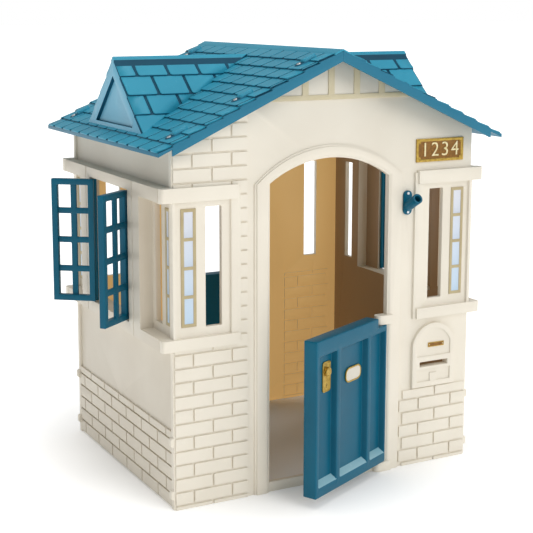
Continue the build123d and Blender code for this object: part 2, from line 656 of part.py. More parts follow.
def half_door():
    """Half door, closed in the front doorway, hinged on its right."""
    left = -DOOR_WIDTH / 2
    right = DOOR_WIDTH / 2
    body = slab(rect(left, right, DOOR_BOTTOM, DOOR_TOP), DOOR_OUTER - DOOR_THICK, DOOR_OUTER)
    upright = body.edges().filter_by(Axis.Z)
    body = fillet(upright.group_by(Axis.X)[-1], DOOR_ROUND)
    body = fillet(body.edges().filter_by(Axis.Z).group_by(Axis.X)[0], DOOR_EDGE_ROUND)
    notch = rect(right - NOTCH_LENGTH, right, DOOR_TOP - NOTCH_HEIGHT, DOOR_TOP)
    body -= slab(notch, 0, HOUSE_DEPTH)
    for near, far in panel_spans():
        field = Pos(right - (near + far) / 2, (PANEL_BOTTOM + PANEL_TOP) / 2) * Rectangle(
            far - near, PANEL_TOP - PANEL_BOTTOM)
        body -= extrude(FRONT.offset(DOOR_OUTER) * field, -PANEL_RECESS, taper=PANEL_DRAFT)
    depth = PIN_DEPTH + PIN_END_PLAY
    shoulder = DOOR_TOP - NOTCH_HEIGHT
    for low, high in ((DOOR_BOTTOM, DOOR_BOTTOM + depth), (shoulder - depth, shoulder)):
        body -= upright_hole(PIVOT_X, PIVOT_Y, low, high, DOOR_PIN + PIN_PLAY)
    return body


def door_pins():
    """Upper and lower pins of a door, pressed into the lugs of the jamb."""
    lower = Pos(PIVOT_X, PIVOT_Y, 0) * Cylinder(DOOR_PIN, DOOR_BOTTOM + PIN_DEPTH, align=ON_END)
    shoulder = DOOR_TOP - NOTCH_HEIGHT
    upper = Pos(PIVOT_X, PIVOT_Y, shoulder - PIN_DEPTH) * Cylinder(
        DOOR_PIN, PIN_DEPTH + LUG_GAP + LUG_HEIGHT, align=ON_END)
    return [lower, upper]


def lock_plate():
    """Brass-coloured lock plate with a round knob, on the door's outer panel."""
    near, far = panel_spans()[2]
    x = DOOR_WIDTH / 2 - (near + far) / 2 + PLATE_SHIFT
    ground = DOOR_OUTER - PANEL_RECESS
    width, height, thick = PLATE_SIZE
    plate = slab(Pos(x, PLATE_HEIGHT) * RectangleRounded(width, height, PLATE_ROUND), ground,
                 ground + thick)
    knob = slab(Pos(x, PLATE_HEIGHT + KNOB_RISE) * Circle(KNOB_RADIUS), ground + thick,
                ground + thick + KNOB_REACH)
    return plate + fillet(knob.faces().sort_by(Axis.Y)[0].edges(), KNOB_ROUND)


def door_badge():
    """Blank round-ended plate on the door's middle panel."""
    near, far = panel_spans()[1]
    width = far - near - BADGE_HINGE_CLEAR - BADGE_FREE_CLEAR
    x = DOOR_WIDTH / 2 - near - BADGE_HINGE_CLEAR - width / 2
    corner = min(BADGE_ROUND, (width - TINY) / 2)
    front = DOOR_OUTER - PANEL_RECESS + BADGE_THICK
    outline = Pos(x, BADGE_HEIGHT) * RectangleRounded(width, BADGE_TALL, corner)
    field = Pos(x, BADGE_HEIGHT) * RectangleRounded(
        width - 2 * BADGE_RIM, BADGE_TALL - 2 * BADGE_RIM, corner - BADGE_RIM)
    return slab(outline, front - BADGE_THICK, front) - slab(field, front - BADGE_SINK, front)


def swing(piece, angle):
    """Turn a piece of the front door about the hinge axis, outwards."""
    return Pos(PIVOT_X, PIVOT_Y, 0) * Rot(Z=angle) * Pos(-PIVOT_X, -PIVOT_Y, 0) * piece


def shutter():
    """Left wall's front shutter, closed in its bay: a frame with two columns of four lights."""
    hinge = LEAF_PIVOT_Y
    free = hinge - LEAF_WIDTH
    frame = rect(free, hinge, LEAF_BOTTOM, LEAF_TOP)
    width = (LEAF_WIDTH - LEAF_BAR * (LEAF_COLUMNS + 1)) / LEAF_COLUMNS
    height = (LEAF_TOP - LEAF_BOTTOM - LEAF_BAR * (LEAF_ROWS + 1)) / LEAF_ROWS
    face = LEAF_PIVOT_X
    lights = []
    for column in range(LEAF_COLUMNS):
        for row in range(LEAF_ROWS):
            left = free + LEAF_BAR + column * (width + LEAF_BAR)
            low = LEAF_BOTTOM + LEAF_BAR + row * (height + LEAF_BAR)
            lights.append(slab(rect(left, left + width, low, low + height),
                               face - LEAF_THICK, face, LEFT))
    leaf = slab(frame, face - LEAF_THICK, face, LEFT)
    middle = rect(free + LEAF_BAR, hinge - LEAF_BAR, LEAF_BOTTOM + LEAF_BAR, LEAF_TOP - LEAF_BAR)
    leaf -= slab(middle, face - LEAF_THICK, face - LEAF_BAR_THICK, LEFT)
    leaf -= lights
    leaf += Pos(-face, -hinge, LEAF_BOTTOM) * Cylinder(KNUCKLE, LEAF_TOP - LEAF_BOTTOM, align=ON_END)
    depth = SHUTTER_PIN_REACH + PIN_END_PLAY
    for low, high in ((LEAF_BOTTOM, LEAF_BOTTOM + depth), (LEAF_TOP - depth, LEAF_TOP)):
        leaf -= upright_hole(-face, -hinge, low, high, SHUTTER_PIN + PIN_PLAY)
    return leaf


def shutter_pins():
    """Pins of the left wall's front shutter, pressed into its lintel and sill."""
    pins = []
    for edge in (LEAF_BOTTOM, LEAF_TOP):
        pins.append(Pos(-LEAF_PIVOT_X, -LEAF_PIVOT_Y, edge) * Cylinder(
            SHUTTER_PIN, 2 * SHUTTER_PIN_REACH))
    return pins


def open_leaf(piece, angle):
    """Turn the left wall's front shutter about its pins, outwards."""
    return (Pos(-LEAF_PIVOT_X, -LEAF_PIVOT_Y, 0) * Rot(Z=angle)
            * Pos(LEAF_PIVOT_X, LEAF_PIVOT_Y, 0) * piece)


def end_mock_lights():
    """Printed window lights stuck in the sunk fields of an end wall."""
    left = rect(-MOCK_FAR, -MOCK_FAR + MOCK_WIDTH, MOCK_BOTTOM, MOCK_BOTTOM + MOCK_HEIGHT)
    right = rect(MOCK_FAR - MOCK_WIDTH, MOCK_FAR, MOCK_BOTTOM, MOCK_BOTTOM + MOCK_HEIGHT)
    return [slab(light, FACE, FACE + PANEL_THICK) for light in (left, right)]


def side_mock_lights():
    """Printed window lights beside the open lights of the left wall."""
    near = SIDE_MOCK_FAR - SIDE_MOCK_WIDTH
    lights = []
    for side in (-1, 1):
        light = rect(*sorted((side * near, side * SIDE_MOCK_FAR)), MOCK_BOTTOM,
                     MOCK_BOTTOM + MOCK_HEIGHT)
        lights.append(slab(light, SIDE_FACE, SIDE_FACE + PANEL_THICK, LEFT))
    return lights


def gable_timber():
    """Timber strips on a gable: a beam, and studs above it up to the wall's edge."""
    reach = BRICK_FROM - MORTAR
    timber = rect(-reach, reach, BEAM_BOTTOM, BEAM_BOTTOM + BEAM_HEIGHT)
    for step in range(-STUD_PAIRS, STUD_PAIRS + 1):
        x = step * STUD_PITCH
        timber += rect(x - STUD_WIDTH / 2, x + STUD_WIDTH / 2, BEAM_BOTTOM, RIDGE_HEIGHT)
    timber &= gable_outline(TIMBER_CLEAR)
    return slab(timber, FACE, FACE + TIMBER_THICK)


def number_plate():
    """House number plate with a raised rim."""
    place = Pos(HALF - NUMBER_CORNER, NUMBER_HEIGHT)
    width, height, thick = NUMBER_SIZE
    plate = slab(place * Rectangle(width, height), FACE, FACE + thick)
    field = place * Rectangle(width - 2 * NUMBER_RIM, height - 2 * NUMBER_RIM)
    return plate - slab(field, FACE + thick - NUMBER_SINK, FACE + thick)


def flag_frame():
    """Frame at the root of the flag tube, its Z along the tube."""
    return Pos(FLAG_X, -(FACE + FLAG_PLATE[2] / 2), FLAG_HEIGHT - FLAG_ROOT_DROP) * Rot(
        X=90 - FLAG_TILT)


def flag_screw_places():
    """Elevation places of the bracket's two screws."""
    return [Pos(FLAG_X, FLAG_HEIGHT + side * FLAG_SCREW_SPREAD) for side in (-1, 1)]


def flag_screw_holes():
    """Holes for the bracket's screws, through the bracket and the front wall."""
    hole = Circle(FLAG_SCREW_SHANK + FAST_FIT)
    return [slab(place * hole, 0, FACE + FLAG_PLATE[2]) for place in flag_screw_places()]


def flag_holder():
    """Bracket with a tube, tilted up, for a small flag."""
    width, height, thick = FLAG_PLATE
    outline = Pos(FLAG_X, FLAG_HEIGHT) * SlotOverall(height, width, rotation=90)
    plate = slab(outline, FACE, FACE + thick)
    tube = flag_frame() * Cylinder(FLAG_TUBE, FLAG_LENGTH, align=ON_END)
    before_wall = slab(rect(0, HOUSE_WIDTH, 0, RIDGE_HEIGHT), FACE + thick / 2, HOUSE_DEPTH)
    bore = flag_frame() * Pos(0, 0, FLAG_LENGTH - FLAG_BORE_DEPTH) * Cylinder(
        FLAG_BORE, FLAG_BORE_DEPTH, align=ON_END)
    holder = plate + (tube & before_wall) - bore
    return holder - flag_screw_holes()


def flag_screws():
    """Two screws that hold the flag bracket on the wall."""
    screws = []
    front = FACE + FLAG_PLATE[2]
    for place in flag_screw_places():
        head = slab(place * Circle(FLAG_SCREW), front, front + FLAG_SCREW_HEAD)
        shank = slab(place * Circle(FLAG_SCREW_SHANK), front - FLAG_SCREW_LENGTH, front)
        screws.append(head + shank)
    return screws


def mailbox_label():
    """Small brass-coloured label above the mail slot."""
    width, height, thick = LABEL_SIZE
    ground = FACE + MAIL_RISE - MAIL_SINK
    place = Pos(MAIL_MIDDLE + LABEL_SHIFT, LABEL_HEIGHT)
    return slab(place * Rectangle(width, height), ground, ground + thick)


def half_turn(piece):
    """The same piece at the other end or on the other side of the house."""
    return Rot(Z=180) * piece


def group(pieces):
    """Several separate solids in one node."""
    return Compound(children=[Part(piece.wrapped) for piece in pieces])


def build():
    """All the nodes, by name, about the middle of the house."""
    nodes = {}
    blank = plain_end_wall()
    nodes["front_wall"] = front_wall(blank)
    nodes["back_wall"] = half_turn(blank)
    nodes["left_wall"] = side_wall()
    nodes["right_wall"] = half_turn(nodes["left_wall"])
    nodes["left_roof_panel"] = roof_panel()
    nodes["right_roof_panel"] = half_turn(nodes["left_roof_panel"])
    nodes["ridge_cap"] = slab(cap_section(), -ROOF_DEPTH / 2, ROOF_DEPTH / 2)
    nodes["left_dormer"] = dormer()
    nodes["right_dormer"] = half_turn(nodes["left_dormer"])
    screws = [roof_screw(x, y) for x, y in screw_spots()]
    nodes["roof_screws"] = group(screws + [half_turn(s) for s in screws])
    nodes["front_gable_timber"] = gable_timber()
    nodes["back_gable_timber"] = half_turn(nodes["front_gable_timber"])
    nodes["front_mock_lights"] = group(end_mock_lights())
    nodes["back_mock_lights"] = group([half_turn(light) for light in end_mock_lights()])
    nodes["left_mock_lights"] = group(side_mock_lights())
    nodes["right_mock_lights"] = group([half_turn(light) for light in side_mock_lights()])
    nodes["number_plate"] = number_plate()
    nodes["flag_holder"] = flag_holder()
    nodes["flag_holder_screws"] = group(flag_screws())
    nodes["mailbox_label"] = mailbox_label()
    nodes["front_door_pins"] = group(door_pins())
    nodes["back_door_pins"] = group([half_turn(pin) for pin in door_pins()])
    nodes["front_door"] = swing(half_door(), DOOR_AJAR)
    nodes["front_lock_plate"] = swing(lock_plate(), DOOR_AJAR)
    nodes["front_door_badge"] = swing(door_badge(), DOOR_AJAR)
    nodes["back_door"] = half_turn(half_door())
    nodes["back_lock_plate"] = half_turn(lock_plate())
    leaf = open_leaf(shutter(), SHUTTER_OPEN)
    pins = shutter_pins()
    mirrored = mirror(leaf, about=Plane.XZ)
    mirrored_pins = [mirror(pin, about=Plane.XZ) for pin in pins]
    nodes["left_front_shutter"] = leaf
    nodes["left_rear_shutter"] = mirrored
    nodes["right_rear_shutter"] = half_turn(leaf)
    nodes["right_front_shutter"] = half_turn(mirrored)
    nodes["left_shutter_pins"] = group(pins + mirrored_pins)
    nodes["right_shutter_pins"] = group([half_turn(pin) for pin in pins + mirrored_pins])
    return nodes


if __name__ == "__main__":
    os.makedirs("parts", exist_ok=True)
    for name, piece in build().items():
        export_step(Pos(0, ORIGIN_Y, 0) * piece, f"parts/{name}.step")
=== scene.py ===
"""Plastic playhouse: cream brick-pattern walls under a blue shingled roof, with half doors and shutters.

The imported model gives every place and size. Walls, roof panels and other large mouldings are taken
over from it with their edges softened as a mould leaves them. The doors, shutters, plates, window
lights, screw heads, roof bosses and shingles are modelled here. Pins and bracket screws keep the
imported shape.
"""

import json
import logging
import math
from dataclasses import dataclass
from enum import Enum
from typing import Callable, Optional, Sequence

import bmesh
import bpy
from mathutils import Matrix, Vector


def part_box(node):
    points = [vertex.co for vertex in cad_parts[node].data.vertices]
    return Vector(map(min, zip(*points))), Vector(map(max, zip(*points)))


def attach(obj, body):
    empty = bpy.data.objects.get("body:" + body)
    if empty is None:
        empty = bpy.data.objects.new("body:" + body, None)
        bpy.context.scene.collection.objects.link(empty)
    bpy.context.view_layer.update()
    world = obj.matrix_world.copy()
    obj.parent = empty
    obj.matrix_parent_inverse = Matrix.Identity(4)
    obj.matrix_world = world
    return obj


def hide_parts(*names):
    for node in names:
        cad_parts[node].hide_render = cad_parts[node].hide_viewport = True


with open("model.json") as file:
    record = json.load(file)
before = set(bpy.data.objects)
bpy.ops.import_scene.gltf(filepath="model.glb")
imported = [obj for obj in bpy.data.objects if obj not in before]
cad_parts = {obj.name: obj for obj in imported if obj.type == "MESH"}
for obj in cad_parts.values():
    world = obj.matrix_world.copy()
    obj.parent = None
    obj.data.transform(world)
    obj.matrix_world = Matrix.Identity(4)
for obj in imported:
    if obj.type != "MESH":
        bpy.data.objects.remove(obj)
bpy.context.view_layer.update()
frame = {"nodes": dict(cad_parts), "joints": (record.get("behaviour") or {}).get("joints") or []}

LOG = logging.getLogger("playhouse")
MM = 0.001
HAIR = 0.1 * MM               # slack when telling which plane a point lies on
MERGE = 0.02 * MM             # corners of loose triangles closer than this are one
FACING = 0.9                  # a face looks along an axis when this share of its normal does
LEANING = 0.3                 # and leans towards it from this share on
SHARP = math.radians(32)      # edges bent by more than this are rounded, or left crisp
COLOUR_MIX = {"data_type": "RGBA"}    # its colours go in at in6 and in7
MIXED = 2                             # and come out here
Triple = Sequence[float]
Box = tuple[Vector, Vector]
Test = Callable[[Vector, Vector], bool]


class Slot(str, Enum):
    """Material slots of the record."""

    CREAM = "cream_wall"
    ROOF = "blue_roof"
    TEAL = "teal_plastic"
    TIMBER = "tan_timber"
    LIGHT = "printed_light"
    BRASS = "brass_print"
    BADGE = "badge_print"
    STEEL = "steel_screw"


# ---------------------------------------------------------------- places from the frame


def house_middle() -> Vector:
    """Upright axis half-way between the outer faces of the end walls.

    Returns:
        A point on it, at ground level.
    """
    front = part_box("front_wall")[0].y
    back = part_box("back_wall")[1].y
    return Vector((0.0, (front + back) / 2, 0.0))


def about(point: Vector, turn: Matrix) -> Matrix:
    """The same turn or mirror, about a point instead of the origin."""
    return Matrix.Translation(point) @ turn @ Matrix.Translation(-point)


def half_turn() -> Matrix:
    """Transform that takes the front of the house to the back, and the left side to the right."""
    return about(house_middle(), Matrix.Rotation(math.pi, 4, "Z"))


def end_mirror() -> Matrix:
    """Transform that swaps the front and the back of the house and keeps its sides."""
    return about(house_middle(), Matrix.Scale(-1, 4, (0, 1, 0)))


def turn_to(x: Vector, y: Vector, z: Vector) -> Matrix:
    """Turn that takes the three axes to these directions."""
    return Matrix((x, y, z)).transposed().to_4x4()


def points_of(node: str) -> list[Vector]:
    """Corner points of a CAD node."""
    return [vertex.co for vertex in frame["nodes"][node].data.vertices]


def box_of(points: Sequence[Vector]) -> Box:
    """Lowest and highest corners of a set of points."""
    low = Vector(min(point[axis] for point in points) for axis in range(3))
    high = Vector(max(point[axis] for point in points) for axis in range(3))
    return low, high


def joint_called(name: str) -> dict:
    """Find a joint of the record by its name."""
    return next(joint for joint in frame["joints"] if joint["name"] == name)


def opening_turn(joint_name: str) -> Matrix:
    """Transform that takes a leaf from closed to the place where it stands.

    Args:
        joint_name: The leaf's hinge.

    Returns:
        The turn about the hinge's axis.
    """
    joint = joint_called(joint_name)
    angle = math.radians(-joint["range_deg"][0])
    return about(Vector(joint["pos_m"]), Matrix.Rotation(angle, 4, Vector(joint["axis"])))


def closed_box(node: str, joint_name: str) -> Box:
    """Lowest and highest corners of a CAD node when its leaf is closed."""
    close = opening_turn(joint_name).inverted()
    return box_of([close @ point for point in points_of(node)])


@dataclass(frozen=True)
class RoofSlope:
    """The left roof slope: the line that the lower edges of its shingle courses lie on."""

    run: float
    ridge: float
    eave: float

    @classmethod
    def of_house(cls) -> "RoofSlope":
        """Read the slope off the left roof panel and the ridge cap.

        Returns:
            The slope.
        """
        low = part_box("left_roof_panel")[0]
        points = points_of("left_roof_panel")
        eave = max(point.z for point in points if point.x < low.x + HAIR)
        return cls(run=abs(low.x), ridge=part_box("ridge_cap")[1].z, eave=eave)

    @property
    def angle(self) -> float:
        """Angle of the slope, in radians."""
        return math.atan2(self.ridge - self.eave, self.run)

    @property
    def uphill(self) -> Vector:
        """Direction up the left slope."""
        return Vector((math.cos(self.angle), 0.0, math.sin(self.angle)))

    @property
    def outward(self) -> Vector:
        """Direction out of the left slope."""
        return Vector((-math.sin(self.angle), 0.0, math.cos(self.angle)))

    def point(self, from_eave: float, y: float) -> Vector:
        """Point on the slope, by its distance from the eave in plan and its place along it."""
        x = from_eave - self.run
        return Vector((x, y, self.eave + from_eave * math.tan(self.angle)))


# ---------------------------------------------------------------- materials


def linear(hex_colour: str) -> tuple[float, float, float, float]:
    """Turn an sRGB hex colour into linear RGBA.

    Args:
        hex_colour: Six hex digits.

    Returns:
        Linear red, green, blue and an alpha of one.
    """
    channels = [int(hex_colour[i:i + 2], 16) / 255 for i in (0, 2, 4)]
    curve = [c / 12.92 if c <= 0.04045 else ((c + 0.055) / 1.055) ** 2.4 for c in channels]
    return (curve[0], curve[1], curve[2], 1.0)


def add_node(tree: bpy.types.NodeTree, kind: str, settings: Optional[dict] = None,
             **links: object) -> bpy.types.Node:
    """Add a shader node with its settings, and link or set its inputs.

    Args:
        tree: The material's node tree.
        kind: The node's type name, without "ShaderNode".
        settings: Properties of the node, by name.
        links: Inputs by name, or by place as in0, in1. Each is an output socket or a value.

    Returns:
        The new node.
    """
    node = tree.nodes.new("ShaderNode" + kind)
    for name, value in (settings or {}).items():
        setattr(node, name, value)
    for name, value in links.items():
        key = int(name[2:]) if name[:2] == "in" and name[2:].isdigit() else name.replace("_", " ")
        socket = node.inputs[key]
        if isinstance(value, bpy.types.NodeSocket):
            tree.links.new(value, socket)
        else:
            socket.default_value = value
    return node


def blank_material(name: str, roughness: float, ior: float = 1.5
                   ) -> tuple[bpy.types.Material, bpy.types.NodeTree, bpy.types.Node,
                              bpy.types.NodeSocket]:
    """Make a material with its principled shader, its output and object coordinates.

    Args:
        name: The material's name.
        roughness: Roughness where nothing else sets it.
        ior: Index of refraction.

    Returns:
        The material, its node tree, the shader node and the coordinates' socket.
    """
    material = bpy.data.materials.new(name)
    material.use_nodes = True
    tree = material.node_tree
    tree.nodes.clear()
    shader = add_node(tree, "BsdfPrincipled", None, Roughness=roughness, IOR=ior)
    add_node(tree, "OutputMaterial", None, Surface=shader.outputs["BSDF"])
    return material, tree, shader, add_node(tree, "TexCoord").outputs["Object"]


def per_metre(size_mm: float) -> float:
    """Scale of a noise whose features are about this many millimetres across."""
    return 1.0 / (size_mm * MM)


@dataclass(frozen=True)
class Inside:
    """The room between the inner skins of the walls."""

    half_width: float
    half_depth: float
    middle: float

    @classmethod
    def of_house(cls) -> "Inside":
        """Read the room off the left wall's top edge and its ends.

        Returns:
            The room.
        """
        low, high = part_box("left_wall")
        skin = max(point.x for point in points_of("left_wall") if point.z > high.z - MM)
        return cls(half_width=abs(skin), half_depth=(high.y - low.y) / 2,
                   middle=house_middle().y)


@dataclass(frozen=True)
class MouldedPolyethylene:
    """Blow-moulded polyethylene: waxy and evenly coloured, with a fine pebble from the mould.

    The pebble breaks up the highlight. Slow changes of tone and a faint ripple come from the
    uneven hollow wall behind, and rubbed places are a little paler.
    """

    name: str
    base: str
    deep: str
    scuff: str
    roughness: float = 0.42
    pebble_mm: float = 1.8        # real grit is about 0.6 mm, drawn coarser so that it shows
    pebble_height_mm: float = 0.10
    cloud_mm: float = 240.0
    ripple_mm: float = 85.0
    ripple_height_mm: float = 0.45
    scuff_mm: float = 14.0
    shine: float = 0.5            # specular level: a dark waxy skin mirrors less of a white room
    # painted glow: the inner skin's colour and emission are painted, standing in for light that crosses
    # the wall
    glow: Optional[str] = None    # colour of the light that crosses to the inner skin
    glow_power: float = 0.0
    inside: Optional[Inside] = None

    def build(self) -> bpy.types.Material:
        """Make the material.

        Returns:
            The material.
        """
        material, tree, shader, place = blank_material(self.name, self.roughness, ior=1.51)
        shader.inputs["Specular IOR Level"].default_value = self.shine
        colour = self.skin_colour(tree, place)
        # painted glow: faces that look into the room are tinted and lit by the glow colour
        if self.glow and self.inside:
            share = self.inside_share(tree, place)
            colour = add_node(tree, "Mix", COLOUR_MIX, in0=share, in6=colour,
                              in7=linear(self.glow)).outputs[MIXED]
            light = add_node(tree, "Mix", COLOUR_MIX, in0=share, in6=linear("000000"),
                             in7=linear(self.glow)).outputs[MIXED]
            tree.links.new(light, shader.inputs["Emission Color"])
            shader.inputs["Emission Strength"].default_value = self.glow_power
        tree.links.new(colour, shader.inputs["Base Color"])
        self.mould_surface(tree, place, shader)
        return material

    def skin_colour(self, tree: bpy.types.NodeTree,
                    place: bpy.types.NodeSocket) -> bpy.types.NodeSocket:
        """Slow changes of tone, with paler scuffs here and there."""
        cloud = add_node(tree, "TexNoise", None, Vector=place, Scale=per_metre(self.cloud_mm),
                         Detail=3.0, Roughness=0.55)
        tone = add_node(tree, "MapRange", None, Value=cloud.outputs["Fac"], From_Min=0.3,
                        From_Max=0.7)
        skin = add_node(tree, "Mix", COLOUR_MIX, in0=tone.outputs["Result"], in6=linear(self.deep),
                        in7=linear(self.base)).outputs[MIXED]
        rub = add_node(tree, "TexNoise", None, Vector=place, Scale=per_metre(self.scuff_mm),
                       Detail=6.0, Roughness=0.7, Distortion=0.6)
        worn = add_node(tree, "MapRange", None, Value=rub.outputs["Fac"], From_Min=0.60,
                        From_Max=0.80, To_Max=0.35)
        return add_node(tree, "Mix", COLOUR_MIX, in0=worn.outputs["Result"], in6=skin,
                        in7=linear(self.scuff)).outputs[MIXED]

    def inside_share(self, tree: bpy.types.NodeTree,
                     place: bpy.types.NodeSocket) -> bpy.types.NodeSocket:
        """One on faces of the walls that look into the room, nothing on the outer faces."""
        room = self.inside
        facing = add_node(tree, "NewGeometry").outputs["True Normal"]
        way = add_node(tree, "SeparateXYZ", None, Vector=facing)
        axes = add_node(tree, "SeparateXYZ", None, Vector=place)
        from_middle = add_node(tree, "Math", {"operation": "SUBTRACT"}, in0=axes.outputs["Y"],
                               in1=room.middle)
        across, along = axes.outputs["X"], from_middle.outputs[0]
        shares = []
        for offset, turn, reach, side, limit in (
                (across, way.outputs["X"], room.half_width, along, room.half_depth),
                (along, way.outputs["Y"], room.half_depth, across, room.half_width)):
            inward = add_node(tree, "Math", {"operation": "MULTIPLY"}, in0=offset, in1=turn)
            share = add_node(tree, "MapRange", None, Value=inward.outputs[0],
                             From_Min=-0.75 * reach, From_Max=-0.9 * reach)
            far = add_node(tree, "Math", {"operation": "ABSOLUTE"}, in0=side)
            within = add_node(tree, "Math", {"operation": "LESS_THAN"}, in0=far.outputs[0],
                              in1=limit + MM)
            both = add_node(tree, "Math", {"operation": "MULTIPLY"},
                            in0=share.outputs["Result"], in1=within.outputs[0])
            shares.append(both.outputs[0])
        return add_node(tree, "Math", {"operation": "MAXIMUM"}, in0=shares[0],
                        in1=shares[1]).outputs[0]

    def mould_surface(self, tree: bpy.types.NodeTree, place: bpy.types.NodeSocket,
                      shader: bpy.types.Node) -> None:
        """Pebble and ripple, as gloss and as relief."""
        grain = add_node(tree, "TexNoise", None, Vector=place, Scale=per_metre(self.pebble_mm),
                         Detail=4.0, Roughness=0.6)
        gloss = add_node(tree, "MapRange", None, Value=grain.outputs["Fac"],
                         To_Min=self.roughness - 0.06, To_Max=self.roughness + 0.08)
        tree.links.new(gloss.outputs["Result"], shader.inputs["Roughness"])
        ripple = add_node(tree, "TexNoise", None, Vector=place, Scale=per_metre(self.ripple_mm),
                          Detail=1.0)
        sink = add_node(tree, "Bump", None, Height=ripple.outputs["Fac"],
                        Distance=self.ripple_height_mm * MM, Strength=0.6)
        bump = add_node(tree, "Bump", None, Height=grain.outputs["Fac"],
                        Distance=self.pebble_height_mm * MM, Strength=0.6,
                        Normal=sink.outputs["Normal"])
        tree.links.new(bump.outputs["Normal"], shader.inputs["Normal"])


@dataclass(frozen=True)
class PrintedVinyl:
    """Printed vinyl sticker under a clear film: two inks that run into each other up the sticker."""

    name: str
    low_ink: str
    high_ink: str
    low_height: float
    high_height: float
    roughness: float = 0.22
    dot_mm: float = 2.4           # real print dots are about 0.3 mm, drawn coarser so that they show

    def build(self) -> bpy.types.Material:
        """Make the material.

        Returns:
            The material.
        """
        material, tree, shader, place = blank_material(self.name, self.roughness, ior=1.53)
        axes = add_node(tree, "SeparateXYZ", None, Vector=place)
        climb = add_node(tree, "MapRange", None, Value=axes.outputs["Z"],
                         From_Min=self.low_height, From_Max=self.high_height)
        ink = add_node(tree, "Mix", COLOUR_MIX, in0=climb.outputs["Result"], in6=linear(self.low_ink),
                       in7=linear(self.high_ink)).outputs[MIXED]
        dots = add_node(tree, "TexNoise", None, Vector=place, Scale=per_metre(self.dot_mm),
                        Detail=2.0)
        strength = add_node(tree, "MapRange", None, Value=dots.outputs["Fac"], To_Max=0.10)
        printed = add_node(tree, "Mix", COLOUR_MIX, in0=strength.outputs["Result"], in6=ink,
                           in7=linear("FFFFFF")).outputs[MIXED]
        tree.links.new(printed, shader.inputs["Base Color"])
        shader.inputs["Coat Weight"].default_value = 0.4
        shader.inputs["Coat Roughness"].default_value = 0.08
        film = add_node(tree, "Bump", None, Height=dots.outputs["Fac"], Distance=0.03 * MM,
                        Strength=0.4)
        tree.links.new(film.outputs["Normal"], shader.inputs["Normal"])
        return material


@dataclass(frozen=True)
class MetallisedPlastic:
    """Plastic with a brass-coloured metallic ink: a soft metal sheen, patchy where it has dulled."""

    name: str
    bright: str
    dull: str
    roughness: float = 0.34
    metal: float = 0.75
    patch_mm: float = 9.0
    brush_mm: float = 1.5

    def build(self) -> bpy.types.Material:
        """Make the material.

        Returns:
            The material.
        """
        material, tree, shader, place = blank_material(self.name, self.roughness)
        patch = add_node(tree, "TexNoise", None, Vector=place, Scale=per_metre(self.patch_mm),
                         Detail=5.0, Roughness=0.6)
        share = add_node(tree, "MapRange", None, Value=patch.outputs["Fac"], From_Min=0.35,
                         From_Max=0.65)
        ink = add_node(tree, "Mix", COLOUR_MIX, in0=share.outputs["Result"], in6=linear(self.dull),
                       in7=linear(self.bright)).outputs[MIXED]
        tree.links.new(ink, shader.inputs["Base Color"])
        shader.inputs["Metallic"].default_value = self.metal
        stretched = add_node(tree, "Mapping", None, Vector=place, Scale=(1.0, 1.0, 0.08))
        brush = add_node(tree, "TexNoise", None, Vector=stretched.outputs["Vector"],
                         Scale=per_metre(self.brush_mm), Detail=3.0)
        gloss = add_node(tree, "MapRange", None, Value=brush.outputs["Fac"],
                         To_Min=self.roughness - 0.1, To_Max=self.roughness + 0.15)
        tree.links.new(gloss.outputs["Result"], shader.inputs["Roughness"])
        lines = add_node(tree, "Bump", None, Height=brush.outputs["Fac"], Distance=0.05 * MM,
                         Strength=0.4)
        tree.links.new(lines.outputs["Normal"], shader.inputs["Normal"])
        return material


@dataclass(frozen=True)
class ZincPlatedSteel:
    """Zinc-plated steel: bright, with the fine turning marks of a screw head."""

    name: str = "zinc_plated_steel"
    base: str = "D9DCDD"
    dull: str = "9AA0A3"
    roughness: float = 0.28
    mark_mm: float = 0.8

    def build(self) -> bpy.types.Material:
        """Make the material.

        Returns:
            The material.
        """
        material, tree, shader, place = blank_material(self.name, self.roughness)
        marks = add_node(tree, "TexNoise", None, Vector=place, Scale=per_metre(self.mark_mm),
                         Detail=4.0)
        tone = add_node(tree, "MapRange", None, Value=marks.outputs["Fac"], To_Max=0.35)
        colour = add_node(tree, "Mix", COLOUR_MIX, in0=tone.outputs["Result"], in6=linear(self.base),
                          in7=linear(self.dull)).outputs[MIXED]
        tree.links.new(colour, shader.inputs["Base Color"])
        shader.inputs["Metallic"].default_value = 1.0
        relief = add_node(tree, "Bump", None, Height=marks.outputs["Fac"], Distance=0.04 * MM,
                          Strength=0.5)
        tree.links.new(relief.outputs["Normal"], shader.inputs["Normal"])
        return material


